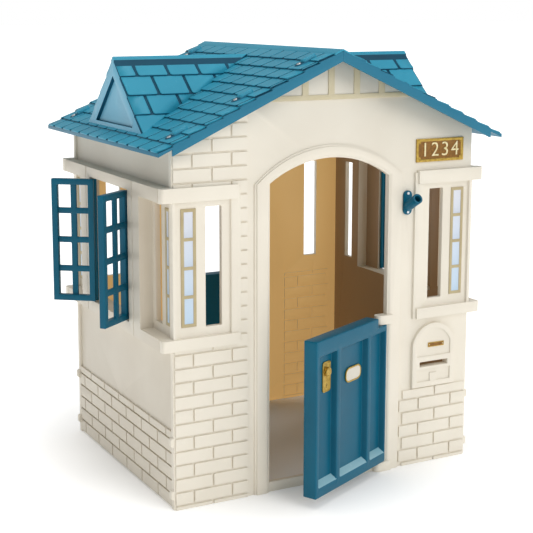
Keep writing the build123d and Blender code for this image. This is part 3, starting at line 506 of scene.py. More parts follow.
@dataclass(frozen=True)
class Finishes:
    """Every finish of the house."""

    cream: bpy.types.Material
    shade: bpy.types.Material
    blue: bpy.types.Material
    painted_shade_blue: bpy.types.Material
    rake: bpy.types.Material
    gable: bpy.types.Material
    teal: bpy.types.Material
    ledge: bpy.types.Material
    timber: bpy.types.Material
    tan: bpy.types.Material
    pane: bpy.types.Material
    brass: bpy.types.Material
    field: bpy.types.Material
    digit: bpy.types.Material
    keyhole: bpy.types.Material
    steel: bpy.types.Material
    pin: bpy.types.Material

    @classmethod
    def mix(cls) -> "Finishes":
        """Make every finish.

        Returns:
            The finishes.
        """
        low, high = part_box("front_mock_lights")
        poly = MouldedPolyethylene
        room = Inside.of_house()
        mixes = {
            "cream": poly("cream_polyethylene", "E7E0D1", "E1D9C9", "EFEADF", roughness=0.45,
                          glow="D8B172", glow_power=0.42, inside=room),
            "shade": poly("shaded_cream_polyethylene", "DED6C6", "D6CDBC", "E8E1D4",
                          roughness=0.45, glow="94795A", glow_power=0.07, inside=room),
            "blue": poly("blue_polyethylene", "2F9AB6", "268FAC", "60B3C9", roughness=0.42,
                         pebble_height_mm=0.14, shine=0.35),
            # painted shade: a deep blue for the panel under the shingles, the dormers and the shingles'
            # sides, standing in for the shade in the joints
            "painted_shade_blue": poly("painted_shade_blue_polyethylene", "0B5069", "07445B", "175F78",
                           roughness=0.5, pebble_height_mm=0.14, shine=0.2),
            # painted shade: the roof panels' rake boards and eave edges take a darker copy of the blue
            "rake": poly("shaded_edge_blue_polyethylene", "1B7490", "176A86", "338AA4",
                         roughness=0.42, pebble_height_mm=0.14, shine=0.35),
            "gable": poly("sunlit_blue_polyethylene", "70B6D1", "66ADC9", "92C8DA",
                          roughness=0.40, pebble_height_mm=0.14),
            "teal": poly("teal_polyethylene", "00607A", "00546D", "167088", roughness=0.34,
                         shine=0.2),
            # painted reflection: pale teal on the door panels' bottom ledges, for the white room
            # mirrored in them
            "ledge": poly("painted_highlight_teal_polyethylene", "8FB7C3", "6FA3B2", "C3DAE0",
                          roughness=0.3),
            "timber": poly("pale_tan_polyethylene", "CFC4A6", "C4B896", "DCD3BB",
                           roughness=0.5, cloud_mm=60.0),
            "tan": poly("tan_polyethylene", "B9AA84", "AC9C76", "C9BD9C", roughness=0.5,
                        cloud_mm=60.0),
            # the keyhole's eye and slot are coloured near-black brown
            "keyhole": poly("dark_keyhole_colour", "3B2A14", "2F210F", "4E3B20"),
            "pin": poly("pin_polyamide", "DAD5C8", "CFC9BA", "E6E2D8"),
            "pane": PrintedVinyl("printed_pane", "B2CBE0", "D0D2DB", low.z, high.z),
            "brass": MetallisedPlastic("brass_ink", "C4A550", "A5853A"),
            "field": MetallisedPlastic("bronze_ink", "8F6426", "76501C", metal=0.35,
                                       roughness=0.45),
            "digit": MetallisedPlastic("pale_brass_ink", "EFE4BC", "D9C98E", metal=0.3),
            "steel": ZincPlatedSteel(),
        }
        return cls(**{name: finish.build() for name, finish in mixes.items()})


# ---------------------------------------------------------------- modelling


def deselect_all() -> None:
    """Leave edit mode and deselect every object."""
    if bpy.context.object and bpy.context.object.mode != "OBJECT":
        bpy.ops.object.mode_set(mode="OBJECT")
    bpy.ops.object.select_all(action="DESELECT")


def take_up(piece: bpy.types.Object) -> None:
    """Make a piece the only selected one, and active."""
    deselect_all()
    piece.select_set(True)
    bpy.context.view_layer.objects.active = piece


def apply_all(piece: bpy.types.Object) -> None:
    """Apply a piece's modifiers, in order."""
    take_up(piece)
    for modifier in list(piece.modifiers):
        bpy.ops.object.modifier_apply(modifier=modifier.name)


def soften(piece: bpy.types.Object, width: float, segments: int = 2) -> bpy.types.Object:
    """Round a piece's sharp edges and shade it smooth between them.

    Args:
        piece: The piece.
        width: Width of the rounding, in metres.
        segments: Strips across the rounding.

    Returns:
        The piece.
    """
    bevel = piece.modifiers.new("mould_radius", "BEVEL")
    bevel.width = width
    bevel.segments = segments
    bevel.limit_method = "ANGLE"
    bevel.angle_limit = SHARP
    bevel.miter_outer = "MITER_ARC"
    apply_all(piece)
    bpy.ops.object.shade_smooth_by_angle(angle=SHARP)
    return piece


def softened_copy(node: str, width: float) -> bpy.types.Object:
    """Take over a CAD moulding with the small radii that its mould gives it.

    Args:
        node: The CAD node.
        width: Width of the rounding, in metres.

    Returns:
        The new piece.
    """
    name = node + "_moulding"
    mesh = frame["nodes"][node].data.copy()
    mesh.name = name
    piece = bpy.data.objects.new(name, mesh)
    bpy.context.scene.collection.objects.link(piece)
    mesh.materials.clear()
    take_up(piece)
    bpy.ops.object.mode_set(mode="EDIT")
    bpy.ops.mesh.select_all(action="SELECT")
    bpy.ops.mesh.customdata_custom_splitnormals_clear()
    bpy.ops.mesh.remove_doubles(threshold=MERGE)
    bpy.ops.object.mode_set(mode="OBJECT")
    return soften(piece, width)


def copied(piece: bpy.types.Object, name: str, move: Matrix) -> bpy.types.Object:
    """Copy a piece with a mesh of its own, and put the copy in its place.

    Args:
        piece: The piece to copy.
        name: The copy's name.
        move: Transform from the piece to the copy.

    Returns:
        The copy.
    """
    copy = bpy.data.objects.new(name, piece.data.copy())
    copy.data.name = name
    bpy.context.scene.collection.objects.link(copy)
    moved(copy, move)
    if move.to_3x3().determinant() < 0:
        bpy.ops.object.mode_set(mode="EDIT")
        bpy.ops.mesh.select_all(action="SELECT")
        bpy.ops.mesh.normals_make_consistent(inside=False)
        bpy.ops.object.mode_set(mode="OBJECT")
    return copy


def moved(piece: bpy.types.Object, move: Matrix) -> bpy.types.Object:
    """Move a piece and put its place in its mesh.

    Args:
        piece: The piece, at the origin.
        move: The transform.

    Returns:
        The piece.
    """
    take_up(piece)
    piece.matrix_world = move
    bpy.ops.object.transform_apply(location=True, rotation=True, scale=True)
    return piece


def removed(piece: bpy.types.Object) -> None:
    """Throw away a pattern piece once its copies are made."""
    bpy.data.objects.remove(piece)


class Bench:
    """One mesh being shaped in edit mode, with its faces and edges chosen by place or normal."""

    def __init__(self, piece: bpy.types.Object) -> None:
        """Put the piece on the bench and go into edit mode."""
        self.piece = piece
        take_up(piece)
        bpy.ops.object.mode_set(mode="EDIT")
        bpy.ops.mesh.select_mode(type="FACE")

    @classmethod
    def block(cls, name: str, low: Triple, high: Triple,
              material: Optional[bpy.types.Material] = None) -> "Bench":
        """Start from a cube between two corners.

        Args:
            name: The piece's name.
            low: Lowest corner.
            high: Highest corner.
            material: Its finish, where it gets one now.

        Returns:
            The bench, with the block on it.
        """
        deselect_all()
        low, high = Vector(low), Vector(high)
        bpy.ops.mesh.primitive_cube_add(size=1.0, location=(low + high) / 2, scale=high - low)
        return cls._named(name, material)

    @classmethod
    def rod(cls, name: str, start: Triple, end: Triple, radius: float, sides: int,
            material: Optional[bpy.types.Material] = None) -> "Bench":
        """Start from a cylinder between two points.

        Args:
            name: The piece's name.
            start: Middle of one end.
            end: Middle of the other end.
            radius: The radius.
            sides: Faces round it.
            material: Its finish, where it gets one now.

        Returns:
            The bench, with the cylinder on it.
        """
        deselect_all()
        start, end = Vector(start), Vector(end)
        along = end - start
        bpy.ops.mesh.primitive_cylinder_add(
            vertices=sides, radius=radius, depth=along.length, location=(start + end) / 2,
            rotation=along.to_track_quat("Z", "Y").to_euler())
        return cls._named(name, material)

    @classmethod
    def _named(cls, name: str, material: Optional[bpy.types.Material]) -> "Bench":
        """Name the new primitive, finish it and put its place in its mesh."""
        piece = bpy.context.object
        piece.name = name
        piece.data.name = name
        if material:
            piece.data.materials.append(material)
        bpy.ops.object.transform_apply(location=True, rotation=True, scale=True)
        return cls(piece)

    def choose(self, test: Test) -> None:
        """Select the faces whose normal and middle pass a test, and no others."""
        self._select("FACE", lambda mesh: [face for face in mesh.faces
                                           if test(face.normal, face.calc_center_median())])

    def choose_edges(self, test: Test) -> None:
        """Select the edges whose two ends pass a test, and no others."""
        self._select("EDGE", lambda mesh: [edge for edge in mesh.edges
                                           if test(edge.verts[0].co, edge.verts[1].co)])

    def choose_front(self, behind: float = -math.inf) -> None:
        """Select the faces that look to the front and lie behind a place along y."""
        self.choose(lambda facing, at: facing.y < -FACING and at.y > behind)

    def _select(self, mode: str, chosen_of: Callable[[bmesh.types.BMesh], list]) -> None:
        """Select what a function picks from the mesh, and nothing else.

        Args:
            mode: FACE or EDGE.
            chosen_of: Picks faces or edges of that kind.
        """
        bpy.ops.mesh.select_mode(type=mode)
        bpy.ops.mesh.select_all(action="DESELECT")
        mesh = bmesh.from_edit_mesh(self.piece.data)
        for part in chosen_of(mesh):
            part.select_set(True)
        bmesh.update_edit_mesh(self.piece.data)

    def cut(self, place: Triple, normal: Triple, clear: bool = False) -> None:
        """Cut every face along a plane, and clear away what lies past it if asked."""
        bpy.ops.mesh.select_all(action="SELECT")
        bpy.ops.mesh.bisect(plane_co=place, plane_no=normal, clear_outer=clear, use_fill=clear)

    def push(self, move: Triple) -> None:
        """Extrude the selected faces along a vector."""
        bpy.ops.mesh.extrude_region_move(TRANSFORM_OT_translate={"value": tuple(move)})

    def draft(self, factors: Triple, about: Triple) -> None:
        """Scale the selection about a point."""
        bpy.ops.transform.resize(value=tuple(factors), center_override=tuple(about))

    def inset(self, width: float, depth: float = 0.0) -> None:
        """Inset the selected faces, and sink them by a depth."""
        bpy.ops.mesh.inset(thickness=width, depth=-depth, use_even_offset=True)

    def sink_field(self, rim: float, slope: float, depth: float,
                   material: Optional[bpy.types.Material] = None) -> None:
        """Sink a field into the front face of a plate.

        Args:
            rim: Width of the rim left round it.
            slope: Width of the slope down to it.
            depth: How far it sinks.
            material: Its finish, where it has one of its own.
        """
        mesh = bmesh.from_edit_mesh(self.piece.data)
        front = min(vertex.co.y for vertex in mesh.verts)
        self.choose_front()
        self.inset(rim)
        self.inset(slope, depth)
        if material:
            self.choose_front(front + depth / 2)
            self.paint(material)

    def round_edges(self, radius: float, segments: int = 6) -> None:
        """Bevel the selected edges into a round."""
        bpy.ops.mesh.bevel(offset=radius, segments=segments, affect="EDGES")

    def bridge(self) -> None:
        """Open a hole between the selected faces."""
        bpy.ops.mesh.bridge_edge_loops()

    def paint(self, material: bpy.types.Material) -> None:
        """Give the selected faces a finish of their own."""
        materials = self.piece.data.materials
        if material.name not in materials:
            materials.append(material)
        self.piece.active_material_index = materials.find(material.name)
        bpy.ops.object.material_slot_assign()

    def off(self) -> bpy.types.Object:
        """Take the piece off the bench, out of edit mode."""
        bpy.ops.object.mode_set(mode="OBJECT")
        return self.piece


def joined(pieces: Sequence[bpy.types.Object], name: Optional[str] = None) -> bpy.types.Object:
    """Join pieces into the first of them.

    Args:
        pieces: The pieces.
        name: A new name for the first piece, where it gets one.

    Returns:
        The first piece, with the others in it.
    """
    deselect_all()
    for piece in pieces:
        piece.select_set(True)
    bpy.context.view_layer.objects.active = pieces[0]
    bpy.ops.object.join()
    pieces[0].name = name or pieces[0].name
    return pieces[0]


def set_down(piece: bpy.types.Object, body: str, slot: Slot,
             material: Optional[bpy.types.Material] = None, *nodes: str) -> bpy.types.Object:
    """Finish a piece, fix it to its body and hide the CAD nodes that it replaces.

    Args:
        piece: The piece.
        body: The CAD body that it moves with.
        slot: The record's material slot; not used.
        material: Its finish, where it has none yet.
        nodes: The CAD nodes that it replaces.

    Returns:
        The piece.
    """
    if material and not piece.data.materials:
        piece.data.materials.append(material)
    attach(piece, body)
    if nodes:
        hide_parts(*nodes)
    LOG.info("%s rides on %s, %d faces", piece.name, body, len(piece.data.polygons))
    return piece


def dress(node: str, material: bpy.types.Material) -> None:
    """Give a CAD node, kept as it is, its finish."""
    for slot in frame["nodes"][node].material_slots:
        slot.material = material
    LOG.info("%s keeps its shape and takes %s", node, material.name)


# ---------------------------------------------------------------- sub-assemblies


@dataclass
class Mouldings:
    """Walls, roof panels, cap, dormers, flag bracket and gable timbers, with softened edges."""

    finishes: Finishes
    wall_radius: float = 1.6 * MM
    roof_radius: float = 1.2 * MM
    small_radius: float = 0.8 * MM
    rake_strip: float = 9 * MM
    ridge_strip: float = 10.5 * MM        # half the width of the strip on a dormer's ridge
    ridge_depth: float = 26.25 * MM       # and how far below the ridge its faces may lie
    ridge_rise: float = 5 * MM
    upward: float = 0.5                   # share of its normal by which a roof face looks up
    strip_upward: float = 0.2

    def build(self) -> None:
        """Take over every large moulding."""
        for node, finish in (("front_wall", self.finishes.cream),
                             ("back_wall", self.finishes.cream),
                             ("left_wall", self.finishes.shade),
                             ("right_wall", self.finishes.shade)):
            set_down(softened_copy(node, self.wall_radius), "house", Slot.CREAM, finish, node)
        for node in ("left_roof_panel", "right_roof_panel"):
            panel = softened_copy(node, self.roof_radius)
            # painted shade: the panel starts all in the darker rake blue
            panel.data.materials.append(self.finishes.rake)
            bench = Bench(panel)
            front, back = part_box(node)[0].y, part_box(node)[1].y
            # painted shade: the panel's upward faces, which show only in the joints between shingles,
            # take the deep blue
            bench.choose(lambda facing, at: facing.z > self.upward
                         and front + self.rake_strip < at.y < back - self.rake_strip)
            bench.paint(self.finishes.painted_shade_blue)
            set_down(bench.off(), "house", Slot.ROOF, None, node)
        set_down(softened_copy("ridge_cap", self.roof_radius), "house", Slot.ROOF,
                 self.finishes.blue, "ridge_cap")
        for node, side in (("left_dormer", -1), ("right_dormer", 1)):
            dormer = softened_copy(node, self.roof_radius)
            # painted shade: the dormer takes the deep blue everywhere but its gable and ridge strip
            dormer.data.materials.append(self.finishes.painted_shade_blue)
            bench = Bench(dormer)
            bench.choose(lambda facing, at: facing.x * side > FACING)
            bench.paint(self.finishes.gable)
            middle = house_middle().y
            for edge in (middle - self.ridge_strip, middle + self.ridge_strip):
                bench.cut((0, edge, 0), (0, 1, 0))
            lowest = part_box(node)[1].z - self.ridge_depth
            bench.choose(lambda facing, at: facing.z > self.strip_upward and at.z > lowest
                         and abs(at.y - middle) < self.ridge_strip)
            bench.push((0, 0, self.ridge_rise))
            bench.paint(self.finishes.blue)
            set_down(bench.off(), "house", Slot.ROOF, None, node)
        for node in ("front_gable_timber", "back_gable_timber"):
            set_down(softened_copy(node, self.small_radius), "house", Slot.TIMBER,
                     self.finishes.timber, node)
        set_down(softened_copy("flag_holder", self.small_radius), "house", Slot.TEAL,
                 self.finishes.teal, "flag_holder")


@dataclass
class HalfDoor:
    """Half door with three sunk panels on its outer face and a notch for the upper hinge lug."""

    finishes: Finishes
    notch_length: float = 60 * MM
    notch_height: float = 28 * MM
    hinge_round: float = 18 * MM
    panel_low: float = 61 * MM
    panel_high: float = 437 * MM
    panels: tuple[tuple[float, float], ...] = ((18 * MM, 100 * MM), (118 * MM, 265 * MM),
                                               (285 * MM, 376 * MM))
    recess: float = 19 * MM
    draft: float = 2.7 * MM
    ledge: float = 13 * MM
    edge_radius: float = 2.6 * MM

    def closed(self, box: Box) -> bpy.types.Object:
        """Model the door shut in the front doorway, hinged on its right.

        Args:
            box: The closed door's corners.

        Returns:
            The door.
        """
        low, high = box
        shoulder = high.z - self.notch_height
        bench = Bench.block("half_door_pattern", low, (high.x, high.y, shoulder),
                            self.finishes.teal)
        bench.cut((high.x - self.notch_length, 0, 0), (1, 0, 0))
        bench.choose(lambda facing, at: facing.z > FACING and at.x < high.x - self.notch_length)
        bench.push((0, 0, self.notch_height))
        bench.choose_edges(lambda start, end: min(start.x, end.x) > high.x - MM
                           and abs(start.z - end.z) > MM)
        bench.round_edges(self.hinge_round)
        for height in (self.panel_low, self.panel_high):
            bench.cut((0, 0, height), (0, 0, 1))
        for side in [side for panel in self.panels for side in panel]:
            bench.cut((high.x - side, 0, 0), (1, 0, 0))
        for near, far in self.panels:
            self.sink_panel(bench, high.x - far, high.x - near, low.y)
        return soften(bench.off(), self.edge_radius, segments=3)

    def sink_panel(self, bench: Bench, left: float, right: float, outer: float) -> None:
        """Sink one panel into the outer face, with sides that draw in as they go down.

        Args:
            bench: The bench with the door.
            left: Left edge of the panel.
            right: Right edge of the panel.
            outer: The outer face.
        """
        middle = (self.panel_low + self.panel_high) / 2
        bench.choose(lambda facing, at: facing.y < -FACING and left < at.x < right
                     and self.panel_low < at.z < self.panel_high)
        bench.push((0, self.recess, 0))
        narrow = 1 - 2 * self.draft / (right - left)
        height = self.panel_high - self.panel_low
        short = 1 - (self.draft + self.ledge) / height
        fixed = self.panel_high - self.draft * height / (self.draft + self.ledge)
        bench.draft((narrow, 1, short), ((left + right) / 2, outer + self.recess, fixed))
        # painted reflection: the ledge at the panel's foot takes the pale teal
        bench.choose(lambda facing, at: facing.z > LEANING and left < at.x < right
                     and self.panel_low - MM < at.z < middle)
        bench.paint(self.finishes.ledge)

    def build(self) -> None:
        """Make both doors, the front one as it stands ajar and the back one shut."""
        pattern = self.closed(closed_box("front_door", "front_door_hinge"))
        front = copied(pattern, "front_door_leaf", opening_turn("front_door_hinge"))
        back = copied(pattern, "back_door_leaf", half_turn())
        removed(pattern)
        set_down(front, "front_half_door", Slot.TEAL, self.finishes.teal, "front_door")
        set_down(back, "back_half_door", Slot.TEAL, self.finishes.teal, "back_door")


@dataclass
class LockPlate:
    """Brass-coloured lock plate: a sunk field, a domed knob and a keyhole under it."""

    finishes: Finishes
    corner: float = 8 * MM
    rim: float = 3.0 * MM
    sink: float = 0.8 * MM
    thick: float = 3.0 * MM
    field_slope: float = 0.6 * MM
    edge_radius: float = 0.5 * MM
    knob_radius: float = 13 * MM
    knob_above: float = 1 / 6             # of the plate's height, over its middle
    knob_ring: float = 2.2 * MM
    knob_step: float = 1.0 * MM
    knob_dip: float = 1.2 * MM
    eye_radius: float = 3.4 * MM
    eye_height: float = 0.24              # of the plate's height, over its foot
    slot_half: float = 1.6 * MM
    slot_length: float = 10 * MM
    hole_proud: float = 0.4 * MM
    hole_depth: float = 0.5 * MM

    def closed(self, box: Box) -> bpy.types.Object:
        """Model the plate on the closed front door.

        Args:
            box: Corners of the plate with its knob.

        Returns:
            The plate.
        """
        low, high = box
        face = high.y - self.thick
        bench = Bench.block("lock_plate_pattern", (low.x, face, low.z), high, self.finishes.brass)
        bench.choose_edges(lambda start, end: abs(start.y - end.y) > MM)
        bench.round_edges(self.corner, 5)
        bench.sink_field(self.rim, self.field_slope, self.sink)
        plate = soften(bench.off(), self.edge_radius)
        middle = (low + high) / 2
        tall = high.z - low.z
        knob = self.knob(Vector((middle.x, 0, middle.z + tall * self.knob_above)),
                         face + self.sink, low.y)
        hole = self.keyhole(Vector((middle.x, face, low.z + tall * self.eye_height)))
        return joined([plate, knob, hole])

    def knob(self, centre: Vector, foot: float, top: float) -> bpy.types.Object:
        """Domed knob with a ring round its foot.

        Args:
            centre: The knob's axis, in x and z.
            foot: Where it stands, along y.
            top: Its outer end, along y.

        Returns:
            The knob.
        """
        bench = Bench.rod("lock_knob", (centre.x, foot, centre.z), (centre.x, top, centre.z),
                          self.knob_radius, 40, self.finishes.brass)
        bench.sink_field(self.knob_ring, self.knob_step, self.knob_dip)
        bench.push((0, -self.knob_step, 0))
        return soften(bench.off(), self.knob_step, segments=3)

    def keyhole(self, centre: Vector) -> bpy.types.Object:
        """Dark keyhole: a round eye over a slot.

        Args:
            centre: Middle of the eye.

        Returns:
            The keyhole.
        """
        front = centre.y + self.sink - self.hole_proud
        back = centre.y + self.sink + self.hole_proud
        eye = Bench.rod("keyhole_eye", (centre.x, back, centre.z), (centre.x, front, centre.z),
                        self.eye_radius, 24, self.finishes.keyhole)
        eye.choose_front()
        eye.inset(self.hole_proud * 2, self.hole_depth)
        eye_part = eye.off()
        slot = Bench.block("keyhole_slot",
                           (centre.x - self.slot_half, front, centre.z - self.slot_length),
                           (centre.x + self.slot_half, back, centre.z), self.finishes.keyhole)
        slot.choose_front()
        slot.inset(self.field_slope, self.hole_depth)
        return joined([eye_part, slot.off()])

    def build(self) -> None:
        """Make both plates."""
        pattern = self.closed(closed_box("front_lock_plate", "front_door_hinge"))
        front = copied(pattern, "front_lock_plate_face", opening_turn("front_door_hinge"))
        back = copied(pattern, "back_lock_plate_face", half_turn())
        removed(pattern)
        set_down(front, "front_half_door", Slot.BRASS, None, "front_lock_plate")
        set_down(back, "back_half_door", Slot.BRASS, None, "back_lock_plate")


@dataclass
class DoorBadge:
    """Blank round-ended plate with a brass-coloured rim and a pale field."""

    finishes: Finishes
    corner: float = 19.5 * MM
    rim: float = 4.0 * MM
    sink: float = 1.0 * MM
    field_slope: float = 0.5 * MM
    edge_radius: float = 0.6 * MM

    def build(self) -> None:
        """Make the badge and turn it with the door."""
        low, high = closed_box("front_door_badge", "front_door_hinge")
        bench = Bench.block("front_door_badge_plate", low, high, self.finishes.brass)
        bench.choose_edges(lambda start, end: abs(start.y - end.y) > MM)
        bench.round_edges(self.corner, 10)
        bench.sink_field(self.rim, self.field_slope, self.sink, self.finishes.pin)
        badge = moved(soften(bench.off(), self.edge_radius), opening_turn("front_door_hinge"))
        set_down(badge, "front_half_door", Slot.BADGE, None, "front_door_badge")


@dataclass
class Shutter:
    """Shutter leaf: a frame and glazing bars round two columns of four open lights."""

    finishes: Finishes
    columns: int = 2
    rows: int = 4
    bar: float = 18 * MM
    bar_thick: float = 9 * MM
    knuckle: float = 5.5 * MM
    edge_radius: float = 1.8 * MM
    barrel_radius: float = 0.8 * MM       # rounding of the barrel's ends

    def closed(self, box: Box, pivot: Vector) -> bpy.types.Object:
        """Model the left wall's front shutter, closed in its bay.

        Args:
            box: The closed shutter's corners, with its knuckle.
            pivot: A point on its hinge.

        Returns:
            The shutter.
        """
        low, high = box
        outer, inner = pivot.x, high.x
        near, far = pivot.y, high.y
        bench = Bench.block("shutter_pattern", (outer, near, low.z), (inner, far, high.z))
        light_width = (far - near - self.bar * (self.columns + 1)) / self.columns
        light_height = (high.z - low.z - self.bar * (self.rows + 1)) / self.rows
        columns = self.spans(near, light_width, self.columns)
        rows = self.spans(low.z, light_height, self.rows)
        for spans, normal in ((columns, Vector((0, 1, 0))), (rows, Vector((0, 0, 1)))):
            for edge in [edge for span in spans for edge in span]:
                bench.cut(normal * edge, normal)
        bench.choose(lambda facing, at: facing.x > FACING
                     and columns[0][0] < at.y < columns[-1][1]
                     and rows[0][0] < at.z < rows[-1][1])
        bench.push((-(inner - outer - self.bar_thick), 0, 0))
        for left, right in columns:
            for bottom, top in rows:
                bench.choose(lambda facing, at: abs(facing.x) > FACING
                             and left < at.y < right and bottom < at.z < top)
                bench.bridge()
        leaf = soften(bench.off(), self.edge_radius, segments=3)
        barrel = Bench.rod("shutter_barrel", (pivot.x, pivot.y, low.z),
                           (pivot.x, pivot.y, high.z), self.knuckle, 24)
        return joined([leaf, soften(barrel.off(), self.barrel_radius)])

    def spans(self, start: float, size: float, count: int) -> list[tuple[float, float]]:
        """Near and far edges of a row of lights of one size, each past a bar."""
        firsts = [start + self.bar + step * (size + self.bar) for step in range(count)]
        return [(first, first + size) for first in firsts]

    def build(self) -> None:
        """Make the four shutters, open as they stand."""
        hinge = "left_front_shutter_hinge"
        pivot = Vector(joint_called(hinge)["pos_m"])
        pattern = self.closed(closed_box("left_front_shutter", hinge), pivot)
        places = {"left_front": Matrix.Identity(4), "left_rear": end_mirror(),
                  "right_rear": half_turn(), "right_front": half_turn() @ end_mirror()}
        for where, move in places.items():
            opened = opening_turn(where + "_shutter_hinge") @ move
            leaf = copied(pattern, where + "_shutter_leaf", opened)
            set_down(leaf, where + "_leaf", Slot.TEAL, self.finishes.teal, where + "_shutter")
        removed(pattern)


@dataclass
class WindowLights:
    """Printed window lights: a raised tan frame round four sunk panes."""

    finishes: Finishes
    rows: int = 4
    bar: float = 9.0 * MM
    sink: float = 1.3 * MM
    edge_radius: float = 0.5 * MM

    def light(self, name: str, low: Vector, high: Vector, outward: Vector) -> bpy.types.Object:
        """Model one light.

        Args:
            name: The piece's name.
            low: Lowest corner.
            high: Highest corner.
            outward: Direction that it faces.

        Returns:
            The light.
        """
        bench = Bench.block(name, low, high, self.finishes.tan)
        across = 0 if outward.y else 1
        side = Vector((1 - across, across, 0.0))
        left, right = low[across] + self.bar, high[across] - self.bar
        pane = (high.z - low.z - self.bar * (self.rows + 1)) / self.rows
        firsts = [low.z + self.bar + row * (pane + self.bar) for row in range(self.rows)]
        for edge in (left, right):
            bench.cut(side * edge, side)
        for first in firsts:
            for edge in (first, first + pane):
                bench.cut((0, 0, edge), (0, 0, 1))
        bench.choose(lambda facing, at: facing.dot(outward) > FACING
                     and left < at[across] < right
                     and any(first < at.z < first + pane for first in firsts))
        bench.push(-outward * self.sink)
        bench.paint(self.finishes.pane)
        return soften(bench.off(), self.edge_radius)

    def build(self) -> None:
        """Make the pair of lights on each wall."""
        outward = {"front": Vector((0, -1, 0)), "back": Vector((0, 1, 0)),
                   "left": Vector((-1, 0, 0)), "right": Vector((1, 0, 0))}
        for wall, facing in outward.items():
            node = wall + "_mock_lights"
            across = 0 if facing.y else 1
            centre = house_middle()[across]
            lights = []
            for number, side in enumerate((-1, 1)):
                low, high = box_of([p for p in points_of(node) if (p[across] - centre) * side > 0])
                lights.append(self.light(f"{node}_{number}", low, high, facing))
            pair = joined(lights, wall + "_window_lights")
            set_down(pair, "house", Slot.LIGHT, None, node)


@dataclass
class NumberPlate:
    """House number plate: a brass rim with corner studs, a bronze field and raised digits."""

    finishes: Finishes
    digits: str = "1234"
    rim: float = 7.0 * MM
    sink: float = 2.0 * MM
    field_slope: float = 1.4 * MM
    edge_radius: float = 0.9 * MM
    stud: float = 5.0 * MM
    stud_in: float = 10 * MM              # middle of a stud, from both edges of its corner
    stud_low: float = 0.2 * MM
    stud_rim: float = 1.2 * MM
    stud_sink: float = 0.5 * MM
    stud_round: float = 0.4 * MM
    digit_height: float = 60 * MM
    digit_thick: float = 0.6 * MM
    digit_spacing: float = 1.2
    digit_slim: float = 0.6 * MM
    digit_bevel: float = 0.35 * MM

    def build(self) -> None:
        """Make the plate and its digits."""
        low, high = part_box("number_plate")
        bench = Bench.block("number_plate_face", low, high, self.finishes.brass)
        bench.sink_field(self.rim, self.field_slope, self.sink, self.finishes.field)
        plate = soften(bench.off(), self.edge_radius)
        studs = [self.corner_stud(x, z, low.y)
                 for x in (low.x + self.stud_in, high.x - self.stud_in)
                 for z in (low.z + self.stud_in, high.z - self.stud_in)]
        plate = joined([plate] + studs)
        set_down(plate, "house", Slot.BRASS, None, "number_plate")
        set_down(self.number((low + high) / 2, low.y + self.sink), "house", Slot.BRASS)

    def corner_stud(self, x: float, z: float, face: float) -> bpy.types.Object:
        """Round stud that holds a corner of the plate.

        Args:
            x: Across.
            z: Height.
            face: Front of the plate.

        Returns:
            The stud.
        """
        bench = Bench.rod("number_plate_stud", (x, face + self.sink, z),
                          (x, face + self.stud_low, z), self.stud, 20, self.finishes.brass)
        bench.choose_front()
        bench.inset(self.stud_rim, self.stud_sink)
        return soften(bench.off(), self.stud_round)

    def number(self, middle: Vector, ground: float) -> bpy.types.Object:
        """Raised digits, made a mesh.

        Args:
            middle: Middle of the plate.
            ground: The field that they stand on, along y.

        Returns:
            The digits.
        """
        deselect_all()
        bpy.ops.object.text_add()
        text = bpy.context.object
        text.name = "number_plate_digits"
        text.data.body = self.digits
        text.data.size = self.digit_height
        text.data.align_x = "CENTER"
        text.data.align_y = "CENTER"
        text.data.space_character = self.digit_spacing
        text.data.offset = -self.digit_slim
        text.data.extrude = self.digit_thick
        text.data.bevel_depth = self.digit_bevel
        text.data.bevel_resolution = 1
        bpy.ops.object.convert(target="MESH")
        text = bpy.context.object
        upright = Matrix.Rotation(math.radians(90), 4, "X")
        moved(text, Matrix.Translation((middle.x, ground - self.digit_thick, middle.z)) @ upright)
        text.data.materials.append(self.finishes.digit)
        return text


@dataclass
class MailboxLabel:
    """Small brass-coloured label with two rivets."""

    finishes: Finishes
    rim: float = 1.6 * MM
    sink: float = 0.6 * MM
    field_slope: float = 0.4 * MM
    edge_radius: float = 0.3 * MM
    rivet: float = 1.7 * MM
    rivet_in: float = 5 * MM
    rivet_round: float = 0.5 * MM

    def build(self) -> None:
        """Make the label."""
        low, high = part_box("mailbox_label")
        bench = Bench.block("mailbox_label_face", low, high, self.finishes.brass)
        bench.sink_field(self.rim, self.field_slope, self.sink, self.finishes.field)
        label = soften(bench.off(), self.edge_radius)
        height = (low.z + high.z) / 2
        rivets = []
        for x in (low.x + self.rivet_in, high.x - self.rivet_in):
            rod = Bench.rod("label_rivet", (x, low.y + MM, height), (x, low.y, height),
                            self.rivet, 16, self.finishes.digit)
            rivets.append(soften(rod.off(), self.rivet_round))
        set_down(joined([label] + rivets), "house", Slot.BRASS, None, "mailbox_label")


